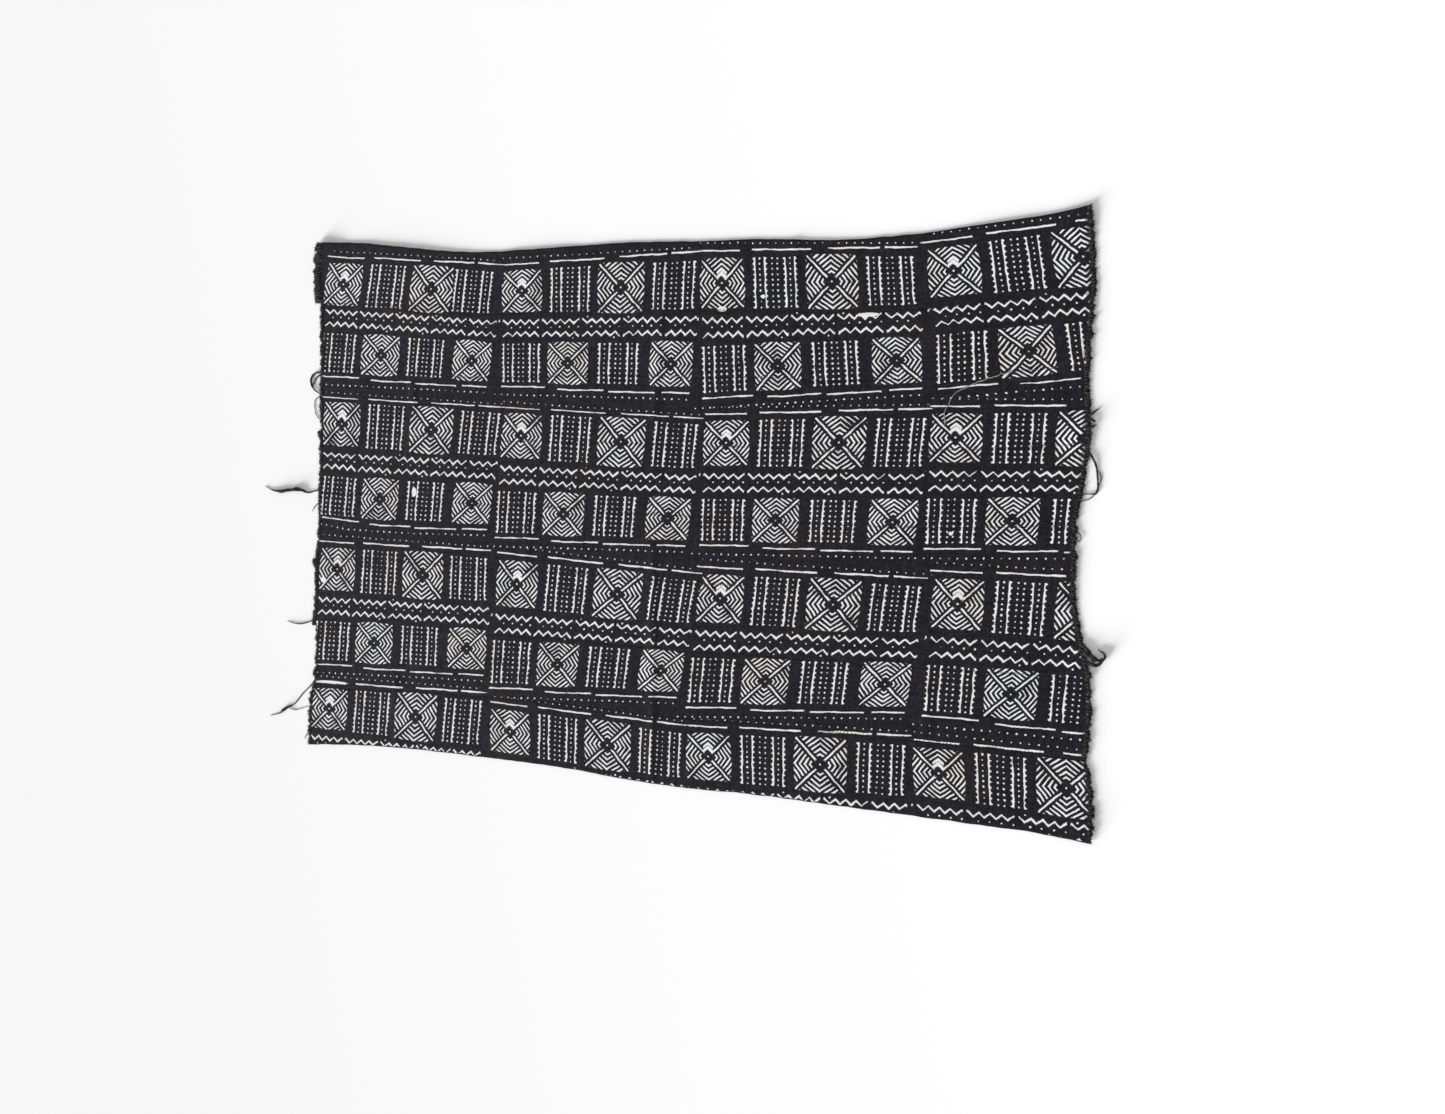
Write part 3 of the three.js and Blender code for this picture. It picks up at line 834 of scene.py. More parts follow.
def dye_and_painted_sheen(tree, place, u, v):
    """Mottled black, browner in patches, with lighter and darker yarns, and lighter towards the left end as
    painted sheen.
    """
    mottle = add(tree, NOISE, place, None, 1 / MOTTLE_SIZE, 4.0, 0.6)
    share = add(tree, RANGE, mottle, *MOTTLE_SPAN, 0.0, 1.0)
    base = add(tree, MIX, share, linear(COTTON_BLACK), linear(COTTON_BROWN))
    light = add(tree, RANGE, streaks(tree, u, v), *STREAK_SPAN, *STREAK_LIGHT)
    grain = add(tree, NOISE, place, None, 1 / (GRAIN_SIZE * MM), 2.0, 0.7)
    grain = add(tree, RANGE, grain, *GRAIN_SPAN, *GRAIN_LIGHT)
    along = add(tree, "ShaderNodeSeparateXYZ", place)
    # Painted sheen: the dye grows lighter towards the left end.
    painted_sheen = add(tree, RANGE, along, *PAINTED_SHEEN_SPAN, *PAINTED_SHEEN_LIGHT)
    light = add(tree, MATH, light, grain, operation="MULTIPLY")
    light = add(tree, MATH, light, painted_sheen, operation="MULTIPLY")
    return add(tree, "ShaderNodeHueSaturation", 0.5, 1.0, light, 1.0, base)


# %% The paint
# Sizes and distances are in millimetres, and a span is the part of a noise's range that is used.
PAINT_SOFT = 0.4
HAND_SHAKE = 1.2
SHAKE_SIZE = 22.0
PRESSURE = 0.6
EDGE_RAGGED = 0.55
EDGE_GRAIN = 2.4
CREST_LEVEL = 0.7
CREST_SHARE = 0.5
DRY_SIZE = 48.0
DRY_SPAN = (0.52, 0.78)
DRY_LOSS = 1.1
# Paint that was spilt outside the cuts: its place on the cloth and half its width and height, in millimetres.
SPILLS = [
    {"x": 573, "y": -28, "wide": 3.5, "high": 3.0},
    {"x": 422, "y": 337, "wide": 19, "high": 3.4},
    {"x": 160, "y": 355, "wide": 9, "high": 4.5},
    {"x": -468, "y": 20, "wide": 5, "high": 9},
    {"x": -678, "y": -161, "wide": 6, "high": 6},
    {"x": -652, "y": -367, "wide": 34, "high": 2.6},
    {"x": 235, "y": 374, "wide": 4, "high": 3.5},
]


def paint_field(tree, where, weave_place, crest):
    """How far inside a cut of the stencil each point is, in millimetres, after the hand and the cloth."""
    flat = add(tree, "ShaderNodeUVMap", uv_map=STENCIL_MAP)
    shake = add(tree, NOISE, flat, None, 1 / SHAKE_SIZE, 1.0, normalize=False)
    moved = add(tree, VECTOR, shake.outputs["Color"], (HAND_SHAKE,) * 3, flat, operation="MULTIPLY_ADD")
    place = add(tree, "ShaderNodeSeparateXYZ", moved)
    drawn = add(tree, "ShaderNodeGroup", node_tree=stencil_group)
    tree.links.new(place.outputs[0], drawn.inputs[0])
    tree.links.new(place.outputs[1], drawn.inputs[1])
    field = add(tree, MATH, place.outputs[2], PRESSURE / HAND_SHAKE, drawn, operation="MULTIPLY_ADD")
    for spill in SPILLS:
        off = add(tree, VECTOR, where, (spill["x"] * MM, spill["y"] * MM, 0), operation="SUBTRACT")
        size = (1 / (spill["wide"] * MM), 1 / (spill["high"] * MM), 0)
        share = add(tree, VECTOR, off, size, operation="MULTIPLY")
        away = add(tree, VECTOR, share, operation="LENGTH").outputs["Value"]
        blot = add(tree, MATH, away, -spill["high"], spill["high"], operation="MULTIPLY_ADD")
        field = add(tree, MATH, field, blot, operation="MAXIMUM")
    dry = add(tree, NOISE, where, None, 1 / (DRY_SIZE * MM), 3.0, 0.65)
    dry = add(tree, RANGE, dry, *DRY_SPAN, 0.0, -DRY_LOSS)
    grain = add(tree, NOISE, weave_place, None, 1 / EDGE_GRAIN, 2.0, 0.6, normalize=False)
    field = add(tree, MATH, field, dry, operation="ADD")
    field = add(tree, MATH, grain, EDGE_RAGGED, field, operation="MULTIPLY_ADD")
    return add(tree, MATH, crest, CREST_SHARE, field, operation="MULTIPLY_ADD")


# %% [markdown]
# The finished cloth puts dye and paint together. Cotton is rough and has almost no gloss, with a breath of
# fuzz. The paint covers the crests of the weave better than its hollows, and yellows in patches. Near the raw
# ends and the outer selvedges it is worn off, as far as an attribute on the mesh says, and the dye is browner
# there. Both could be baked to pictures, but from nodes they stay sharp at any distance.

# %% Dyed and stencilled cotton
PAINT_WHITE = "#e9e9eb"
PAINT_CREAM = "#e3ddcf"
RAW_BROWN = "#1d1b1d"
CREAM_SCALE = 9.0
CREAM_SPAN = (0.5, 0.75)
END_ATTRIBUTE = "from_raw_end"
WORN_SCALE = 0.12
WORN_REACH = 26.0
WORN_FADE = 7.0
COVER_SPAN = (0.15, 0.75)
LEAST_COVER = 0.72
PAINT_RELIEF = 0.08
WEAVE_RELIEF = 0.1
COTTON_ROUGHNESS = 0.95
COTTON_SHEEN = 0.03
COTTON_GLOSS = 0.08


def stencilled_cotton():
    """Hand-woven cotton, dyed, then painted through the stencil."""
    material, tree = new_material("dyed_handwoven_cotton")
    where = add(tree, "ShaderNodeTexCoord").outputs["Object"]
    weave_place = add(tree, "ShaderNodeUVMap", uv_map=WEAVE_MAP)
    uv = add(tree, "ShaderNodeSeparateXYZ", weave_place)
    u, v = uv.outputs[:2]
    height = weave_height(tree, u, v)
    crest = add(tree, MATH, height, CREST_LEVEL, operation="SUBTRACT")
    field = paint_field(tree, where, weave_place, crest)
    paint = add(tree, RANGE, field, -PAINT_SOFT, PAINT_SOFT, 0.0, 1.0, interpolation_type="SMOOTHSTEP")
    from_end = add(tree, "ShaderNodeAttribute", attribute_name=END_ATTRIBUTE).outputs["Fac"]
    worn_end = add(tree, NOISE, weave_place, None, WORN_SCALE, 3.0, 0.6)
    kept = add(tree, MATH, worn_end, -WORN_REACH, from_end, operation="MULTIPLY_ADD")
    kept = add(tree, RANGE, kept, -WORN_FADE, 0.0, 0.0, 1.0)
    cover = add(tree, RANGE, height, *COVER_SPAN, LEAST_COVER, 1.0)
    paint = add(tree, MATH, paint, cover, operation="MULTIPLY")
    paint = add(tree, MATH, paint, kept, operation="MULTIPLY")
    tone = add(tree, NOISE, where, None, CREAM_SCALE, 3.0, 0.55)
    tone = add(tree, RANGE, tone, *CREAM_SPAN, 0.0, 1.0)
    white = add(tree, MIX, tone, linear(PAINT_WHITE), linear(PAINT_CREAM))
    # The dye here also carries the painted sheen that lightens the left end.
    dyed = dye_and_painted_sheen(tree, where, u, v)
    worn = add(tree, MIX, kept, linear(RAW_BROWN), dyed)
    colour = add(tree, MIX, paint, worn, white)
    thick = add(tree, MATH, paint, PAINT_RELIEF, operation="MULTIPLY")
    relief = add(tree, MATH, height, WEAVE_RELIEF, thick, operation="MULTIPLY_ADD")
    finish_material(tree, colour, COTTON_ROUGHNESS, COTTON_SHEEN, COTTON_GLOSS, relief, MM)
    return material


cotton = stencilled_cotton()
print("cotton nodes:", len(cotton.node_tree.nodes), "spills:", len(SPILLS))

# %% [markdown]
# Each strip is one sheet of its own, since the seams between them open a little and catch the light. It could
# be cut from one large plane, but then the weave would run on through the seams. A flat grid is moved onto
# the strip's outline and creases, given its thickness, and its rim is rounded a little, as a selvedge is. The
# sheet needs three maps: one along the yarns for the weave, one on the stencil for the print, and one that
# lays it out flat in four lengths, with its back and rim beside them, for baking. An attribute says how far
# each point is from the nearest worn edge.

# %% Sheets
ALONG_CELLS = 375
ACROSS_CELLS = 30
RIM_ROUND = 0.55
SHARP_ANGLE = 1.0


def sheet_mesh(strip):
    """A strip as a fine grid with its thickness and a rounded rim."""
    bm = bmesh.new()
    bmesh.ops.create_grid(bm, x_segments=ALONG_CELLS, y_segments=ACROSS_CELLS, size=0.5)
    flat = np.array([v.co for v in bm.verts])
    along, across = flat[:, 0] + 0.5, 0.5 - flat[:, 1]
    inset = FRAY_WIDTH + PIECE_GAP
    left, right = end_x(strip, "left", across) + inset, end_x(strip, "right", across) - inset
    x = left + (right - left) * along
    y = strip_y(strip, x, across)
    z = cloth_height(x, y) + unevenness(x, y)
    for vertex, place in zip(bm.verts, np.stack([x, y, z], 1) * MM):
        vertex.co = place
    bmesh.ops.solidify(bm, geom=bm.faces[:], thickness=-CLOTH_THICKNESS * MM)
    bmesh.ops.recalc_face_normals(bm, faces=bm.faces[:])
    corners = [e for e in bm.edges if len(e.link_faces) == 2 and e.calc_face_angle() > SHARP_ANGLE]
    bmesh.ops.bevel(
        bm,
        geom=corners,
        offset=RIM_ROUND * MM,
        offset_type="OFFSET",
        segments=2,
        profile=0.5,
        affect="EDGES",
        material=-1,
    )
    mesh = bpy.data.meshes.new(f"sheet_{strip + 1}")
    bm.to_mesh(mesh)
    bm.free()
    mesh.shade_smooth()
    return mesh


def read(collection, name, width):
    """One value, or a row of them, for every element of a mesh."""
    values = np.zeros(len(collection) * width, np.int32 if width == 1 else np.float32)
    collection.foreach_get(name, values)
    return values if width == 1 else values.reshape(-1, width).astype(float)


def write_map(mesh, name, place):
    layer = mesh.uv_layers.new(name=name)
    layer.data.foreach_set("uv", np.ascontiguousarray(place, np.float32).ravel())


# %% Flat layout
BAKE_SECTIONS = 4
BAKE_WIDTH = 140.0
RIM_SECTIONS = 8
RIM_ROW_START = 0.15
RIM_ROW_SHARE = 0.5
LEVEL = 0.5
# Where the face, its back and the rim lie on the layout, as shares of its width and height.
FACE_AT = {"left": 0.006, "low": 0.006, "wide": 0.672, "tall": 0.24, "row": 0.248}
BACK_AT = {"left": 0.692, "low": 0.008, "wide": 0.148, "tall": 0.41, "row": 0.422, "column": 0.154}
RIM_AT = {"left": 0.694, "low": 0.862, "wide": 0.3, "tall": 0.13}


def in_sections(x, face_x, count):
    """The section of the strip that a face lies in, of so many, and how far along it each corner is."""
    start = face_x.min()
    length = (face_x.max() - start) / count
    section = np.clip(((face_x - start) / length).astype(int), 0, count - 1)
    return section, (x - start - section * length) / length


def lay_out(strip, x, y, z, face_x, upright, face_along_rim):
    """A flat layout for baking: the face in four lengths, its back beside it on its side, and the rim."""
    section, local = in_sections(x, face_x, BAKE_SECTIONS)
    width = (seam_y(strip, x) - y) / BAKE_WIDTH
    front_u = FACE_AT["left"] + FACE_AT["wide"] * local
    front_v = FACE_AT["low"] + FACE_AT["row"] * section + FACE_AT["tall"] * width
    column, row = section % 2, section // 2
    back_u = BACK_AT["left"] + BACK_AT["column"] * column + BACK_AT["wide"] * width
    back_v = BACK_AT["low"] + BACK_AT["row"] * row + BACK_AT["tall"] * local
    rim_section, rim_along = in_sections(x, face_x, RIM_SECTIONS)
    lower = width > 0.5
    on_end = 2 * RIM_SECTIONS + (face_x > 0)
    rim_row = np.where(face_along_rim, rim_section + RIM_SECTIONS * lower, on_end)
    rim_height = RIM_ROW_SHARE * np.clip(z, 0, CLOTH_THICKNESS) / CLOTH_THICKNESS
    rim_u = RIM_AT["left"] + RIM_AT["wide"] * np.where(face_along_rim, rim_along, width)
    rim_v = (rim_row + RIM_ROW_START + rim_height) / (2 * RIM_SECTIONS + 2)
    front, back = np.stack([front_u, front_v], 1), np.stack([back_u, back_v], 1)
    rim = np.stack([rim_u, RIM_AT["low"] + RIM_AT["tall"] * rim_v], 1)
    tilt = upright[:, None]
    return np.where(tilt > LEVEL, front, np.where(tilt < -LEVEL, back, rim))


# %% Maps of a strip
STRIP_WIDTH = 125.0
WEAVE_APART = 211.0
FACE_UP = 0.3
OFF_STENCIL = -1000.0
# How much nearer to the left raw end of each strip the paint is kept than to the right one, in millimetres.
LEFT_END_KEPT = (-13, -1, 4, 6, 7, 5, 5, 2)
# Distances from an outer selvedge count threefold, since the paint wears less far in there.
SELVEDGE_KEPT = 2.0
SELVEDGE_WEAR = 3.0


def print_maps(mesh, strip):
    """The weave map, the stencil map and the distance from the nearest worn edge, on a piece of a strip."""
    points = read(mesh.vertices, "co", 3) / MM
    loop_vertex = read(mesh.loops, "vertex_index", 1)
    loop_total = read(mesh.polygons, "loop_total", 1)
    face_of_corner = np.repeat(np.arange(len(loop_total)), loop_total)
    normals, middles = read(mesh.polygons, "normal", 3), read(mesh.polygons, "center", 3) / MM
    corner = points[loop_vertex]
    across = seam_y(strip, corner[:, 0]) - corner[:, 1]
    write_map(mesh, WEAVE_MAP, np.stack([corner[:, 0], across + WEAVE_APART * strip], 1))
    printed = on_stencil(middles[:, :2], corner[:, :2], face_of_corner)
    write_map(mesh, STENCIL_MAP, np.where(normals[face_of_corner, 2:] > FACE_UP, printed, OFF_STENCIL))
    share = np.clip((seam_y(strip, points[:, 0]) - points[:, 1]) / STRIP_WIDTH, 0, 1)
    from_left = points[:, 0] - end_x(strip, "left", share) + LEFT_END_KEPT[strip]
    from_right = end_x(strip, "right", share) - points[:, 0]
    from_top = seam_y(0, points[:, 0]) - points[:, 1]
    from_bottom = points[:, 1] - seam_y(len(STRIPS), points[:, 0])
    from_selvedge = SELVEDGE_KEPT + SELVEDGE_WEAR * np.minimum(from_top, from_bottom)
    from_edge = np.minimum(np.minimum(from_left, from_right), from_selvedge)
    attribute = mesh.attributes.new(END_ATTRIBUTE, "FLOAT", "POINT")
    attribute.data.foreach_set("value", from_edge.astype(np.float32))
    return corner, normals[face_of_corner], middles[face_of_corner, 0]


def strip_piece(strip):
    """One strip with its maps and its cotton."""
    mesh = sheet_mesh(strip)
    corner, normal, face_x = print_maps(mesh, strip)
    x, y = corner[:, 0], corner[:, 1]
    above = corner[:, 2] - cloth_height(x, y) - unevenness(x, y)
    along_rim = abs(normal[:, 1]) > abs(normal[:, 0])
    write_map(mesh, "OFBake", lay_out(strip, x, y, above, face_x, normal[:, 2], along_rim))
    mesh.materials.append(cotton)
    piece = bpy.data.objects.new(f"sheet_{strip + 1}", mesh)
    bpy.context.scene.collection.objects.link(piece)
    return piece


sheets = [strip_piece(strip) for strip in STRIPS]
print("sheets:", len(sheets), "faces:", sum(len(s.data.polygons) for s in sheets))

# %% [markdown]
# Seams, cut yarns, fuzz and loose locks are all cotton thread. Hair particles could make them, but those
# follow no given route. Every thread here is a curve with a radius at each point, turned into a mesh. Curves
# keep a thread round and smooth with few numbers, and hundreds of them can share one curve object. At this
# size a bevel without extra steps, which gives four sides, is enough.

# %% Threads
THREAD_BEVEL_STEPS = 0


def threads(name, paths, material):
    """One mesh of many threads, each a list of points and radii in millimetres."""
    curve = bpy.data.curves.new(name, "CURVE")
    curve.dimensions = "3D"
    curve.bevel_depth = MM
    curve.bevel_resolution = THREAD_BEVEL_STEPS
    curve.use_fill_caps = True
    for path in paths:
        spline = curve.splines.new("POLY")
        spline.points.add(len(path) - 1)
        for point, (x, y, z, radius) in zip(spline.points, path):
            point.co = (x * MM, y * MM, z * MM, 1)
            point.radius = radius
    made = bpy.data.objects.new(name, curve)
    bpy.context.scene.collection.objects.link(made)
    bpy.context.view_layer.update()
    mesh = bpy.data.meshes.new_from_object(made.evaluated_get(bpy.context.evaluated_depsgraph_get()))
    bpy.data.objects.remove(made)
    bpy.data.curves.remove(curve)
    mesh.name = name
    mesh.materials.clear()
    mesh.materials.append(material)
    mesh.shade_smooth()
    piece = bpy.data.objects.new(name, mesh)
    bpy.context.scene.collection.objects.link(piece)
    return piece


# %% Loose cotton
FIBRE_SPAN = (0.35, 0.65)
FLUFF_SIZE = 0.5
FLUFF_DEPTH = 0.3
FIBRE_GLOSS = 0.12


def fibre_material(name, dark, light, size, sheen):
    """Loose cotton: short fibres, so its colour changes over a few millimetres, and its surface is fuzzy."""
    material, tree = new_material(name)
    where = add(tree, "ShaderNodeTexCoord").outputs["Object"]
    patch = add(tree, NOISE, where, None, 1 / (size * MM), 4.0, 0.65)
    share = add(tree, RANGE, patch, *FIBRE_SPAN, 0.0, 1.0)
    colour = add(tree, MIX, share, linear(dark), linear(light))
    fluff = add(tree, NOISE, where, None, 1 / (FLUFF_SIZE * MM), 3.0, 0.7)
    finish_material(tree, colour, COTTON_ROUGHNESS, sheen, FIBRE_GLOSS, fluff, FLUFF_DEPTH * MM)
    return material


seam_cotton = fibre_material("seam_thread", "#1c1c1e", "#2b2a2a", 4.0, 0.05)
raw_cotton = fibre_material("raw_cotton_end", "#161619", "#434140", 7.0, 0.06)
stray_cotton = fibre_material("stray_thread", "#77726c", "#a39d94", 5.0, 0.1)
print("fibre materials:", seam_cotton.name, raw_cotton.name, stray_cotton.name)

# %% [markdown]
# The strips are whipped together by hand: the thread goes over both selvedges, through the cloth and over
# again, so each seam is a row of short slanted stitches. One wavy thread along the seam would be quicker, but
# seen close it would not look sewn. Each stitch is a short thread with a bump, and no two are quite alike.

# %% Seams
STITCH_PITCH = 6.5
STITCH_HALF = 2.3
STITCH_SLANT = 1.3
STITCH_RADIUS = 0.38
STITCH_PROFILE = [(-1.0, -0.5), (-0.75, 0.3), (0.0, 0.55), (0.75, 0.3), (1.0, -0.5)]
PLACE_SHUFFLE = 1.2
LENGTH_SHUFFLE = (0.75, 1.25)
SLANT_SHUFFLE = (0.3, 1.7)


def seam_piece(seam, shuffle):
    """The stitches between two strips."""
    upper, lower = seam - 1, seam
    start = max(end_x(upper, "left", 1.0), end_x(lower, "left", 0.0)) + FRAY_WIDTH
    end = min(end_x(upper, "right", 1.0), end_x(lower, "right", 0.0)) - FRAY_WIDTH
    paths = []
    for x in np.arange(start, end, STITCH_PITCH):
        middle = x + shuffle.uniform(-PLACE_SHUFFLE, PLACE_SHUFFLE)
        half = STITCH_HALF * shuffle.uniform(*LENGTH_SHUFFLE)
        slant = STITCH_SLANT * shuffle.uniform(*SLANT_SHUFFLE)
        path = []
        for share, rise in STITCH_PROFILE:
            px, py = middle + share * slant, float(seam_y(seam, middle)) + share * half
            ground = float(cloth_height(px, py) + unevenness(px, py)) + CLOTH_THICKNESS
            path.append((px, py, ground + rise, STITCH_RADIUS))
        paths.append(path)
    return threads(f"seam_{seam}", paths, seam_cotton)


stitching = random.Random(11)
seams = [seam_piece(seam, stitching) for seam in range(1, len(SEAM_SHARES) - 1)]
print("seams:", len(seams), "faces:", sum(len(s.data.polygons) for s in seams))

# %% [markdown]
# The strips were cut off the loom without a hem, so their ends have unravelled. The last picks of weft are
# pushed together into a felted band, which still shows the end of the print. It could be a displaced copy of
# the sheet, but its edge is ragged in long and short waves that no even grid follows, so it is a small grid
# of its own, lumpy, thinner towards the edge and running down to the floor. The left end of the first strip
# is rolled over, so its corners are round.

# %% Felted bands
BAND_CELLS = (12, 140)
BAND_OVERLAP = 1.5
BAND_LUMPS = 0.9
LUMP_SIZE = 4.0
LUMP_AT_EDGE = 0.05
BAND_LIFT = 0.1
BAND_FALL = 0.5
BAND_LOWEST_TOP = 0.6
BAND_SHARE = 0.8
# The waves of a ragged end: their size, and how many of them cross a strip.
RAGGED_WAVES = {"left": [(5.0, 9), (3.2, 22), (1.6, 55)], "right": [(3.6, 9), (2.4, 22), (1.2, 55)]}
WAVES_APART = 7.0
DEEPEST = 6.0
ROLLED_END = (0, "left")
ROLL_ROUND = 7.0


def ragged(strip, side, across):
    """How far the worn raw end stands out past the measured one, in millimetres."""
    out = 0.0
    for size, turns in RAGGED_WAVES[side]:
        out += size * noise.noise(Vector((across * turns, strip * WAVES_APART, SIDES[side][1])))
    if (strip, side) == ROLLED_END:
        from_corner = min(across, 1 - across) * STRIP_WIDTH
        missing = max(ROLL_ROUND - from_corner, 0.0)
        out -= ROLL_ROUND - math.sqrt(max(ROLL_ROUND**2 - missing**2, 0.0))
    return max(out, -DEEPEST)


def band_mesh(strip, side):
    """The felted band of one raw end, as a bmesh."""
    outward = SIDES[side][1]
    bm = bmesh.new()
    bmesh.ops.create_grid(bm, x_segments=BAND_CELLS[0], y_segments=BAND_CELLS[1], size=0.5)
    for vertex in bm.verts:
        out, across = vertex.co.x + 0.5, 0.5 - vertex.co.y
        reach = (FRAY_WIDTH + BAND_OVERLAP) * (1 - out) - ragged(strip, side, across) * out
        x = float(end_x(strip, side, across)) - outward * reach
        y = float(strip_y(strip, x, across))
        lump = BAND_LUMPS * noise.noise(Vector((x / LUMP_SIZE, y / LUMP_SIZE, 0)))
        ground = float(cloth_height(x, y) + unevenness(x, y))
        top = ground + CLOTH_THICKNESS * (1 - BAND_FALL * out**3)
        z = top + lump * math.sin(math.pi * min(out + LUMP_AT_EDGE, 1)) + BAND_LIFT
        vertex.co = Vector((x, y, max(z, BAND_LOWEST_TOP))) * MM
    bmesh.ops.solidify(bm, geom=bm.faces[:], thickness=FRAY_THICKNESS * BAND_SHARE * MM)
    bmesh.ops.recalc_face_normals(bm, faces=bm.faces[:])
    for vertex in bm.verts:
        vertex.co.z = max(vertex.co.z, 0.0)
    return bm


# %% [markdown]
# Three sorts of thread end stand on the band. Thick cut yarns lie on the cloth near its end and come down
# over the edge, and on the rolled end they are thicker and reach further in. Thinner warp ends stick out a
# few millimetres, and fine fuzz a little further. All could be one tuft copied round, but a cut end is seen
# against the pale floor, where repeats show, so each draws its own length, slant and heading.

# %% Cut yarns
STUBS = 46
STUB_POINTS = 6
STUB_OUTSIDE = 1.8
STUB_INSIDE_SHUFFLE = (0.6, 1.1)
STUB_RADIUS_SHUFFLE = (0.65, 1.15)
STUB_HEIGHT_SHUFFLE = 0.2
STUB_RISE = 0.35
STUB_SUNK = 0.9
STUB_EMERGES = 4
STUB_TAPER = 0.35
PLAIN_STUBS = {"inside": 8.0, "radius": 1.0, "slant": 0.3}
ROLLED_STUBS = {"inside": 19.0, "radius": 1.5, "slant": 0.12}


def stub(strip, side, shuffle, across):
    """A thick cut yarn that lies on the cloth near its end and comes down over the edge."""
    outward = SIDES[side][1]
    sort = ROLLED_STUBS if (strip, side) == ROLLED_END else PLAIN_STUBS
    inside = sort["inside"] * shuffle.uniform(*STUB_INSIDE_SHUFFLE)
    radius = sort["radius"] * shuffle.uniform(*STUB_RADIUS_SHUFFLE)
    outside = STUB_OUTSIDE * shuffle.uniform(-1.0, 1.0) + ragged(strip, side, across)
    slant = shuffle.gauss(0, sort["slant"])
    path = []
    for share in np.linspace(0, 1, STUB_POINTS):
        out = -inside + (inside + outside) * share
        place = min(max(across + slant * (inside + out) / STRIP_WIDTH, 0.0), 1.0)
        x = float(end_x(strip, side, across)) + outward * out
        y = float(strip_y(strip, x, place))
        ground = float(cloth_height(x, y) + unevenness(x, y))
        ground += shuffle.uniform(-STUB_HEIGHT_SHUFFLE, STUB_HEIGHT_SHUFFLE)
        hidden = 1 - min(share * STUB_EMERGES, 1)
        lying = ground + CLOTH_THICKNESS + radius * (STUB_RISE - STUB_SUNK * hidden)
        fallen = max(ground, 0.0) + radius
        path.append((x, y, lying + (fallen - lying) * share**3, radius * (1 - STUB_TAPER * share**2)))
    return path


# %% Warp ends and fuzz
ROOT_DEPTH = 2.5
TUFTS_ACROSS = (0.005, 0.995)
TUFT_HEADING = 0.45
TUFT_TURN = 0.35
TUFT_HEIGHT = (0.5, 1.3)
TUFT_DROP = (-0.5, 0.35)
TUFT_TAPER = 0.6
WARP_ENDS = 120
END_RADIUS = 0.5
END_RADIUS_SHUFFLE = (0.7, 1.2)
END_SHORTEST = 0.8
END_LONGEST = 4.5
END_STEPS = 4
FUZZ = 110
FUZZ_RADIUS = 0.14
FUZZ_SHORTEST = 1.5
FUZZ_SPREAD = 6.0
FUZZ_STEPS = 5
# Powers that make short ends commoner than long ones.
END_SHORTNESS = 2
FUZZ_SHORTNESS = 1.6


def tuft(strip, side, shuffle, length, radius, steps):
    """A thread end that leaves the band, wanders and comes down to the floor."""
    outward = SIDES[side][1]
    across = shuffle.uniform(*TUFTS_ACROSS)
    x = float(end_x(strip, side, across)) + outward * (ragged(strip, side, across) - ROOT_DEPTH)
    y = float(strip_y(strip, x, across))
    ground = float(cloth_height(x, y) + unevenness(x, y))
    heading = shuffle.gauss(0, TUFT_HEADING)
    z = ground + shuffle.uniform(*TUFT_HEIGHT)
    path = [(x, y, z, radius)]
    stride = (length + ROOT_DEPTH) / steps
    for step in range(1, steps + 1):
        heading += shuffle.gauss(0, TUFT_TURN)
        x += outward * stride * math.cos(heading)
        y += stride * math.sin(heading)
        share = step / steps
        rest = ground * (1 - share) + radius
        z = max(rest, z + shuffle.uniform(*TUFT_DROP))
        path.append((x, y, z, radius * (1 - TUFT_TAPER * share)))
    return path


def fringe_paths(strip, side, shuffle):
    """All the cut yarns, warp ends and fuzz of one raw end."""
    paths = [stub(strip, side, shuffle, (i + shuffle.random()) / STUBS) for i in range(STUBS)]
    for _ in range(WARP_ENDS):
        length = END_SHORTEST + (END_LONGEST - END_SHORTEST) * shuffle.random() ** END_SHORTNESS
        radius = END_RADIUS * shuffle.uniform(*END_RADIUS_SHUFFLE)
        paths.append(tuft(strip, side, shuffle, length, radius, END_STEPS))
    for _ in range(FUZZ):
        length = FUZZ_SHORTEST + FUZZ_SPREAD * shuffle.random() ** FUZZ_SHORTNESS
        paths.append(tuft(strip, side, shuffle, length, FUZZ_RADIUS, FUZZ_STEPS))
    return paths


# %% [markdown]
# The loose threads follow the routes of the construction: each leaves its band, runs through a few points
# given as x, y and width, and goes back into the band where it is a loop. One more short lock fills the wedge
# of yarns at the sixth strip's right end. A wide one is a lock of several yarns. It could be one thick
# twisted strand, but the real ones are open, so it is a bundle of threads that wander inside its width.

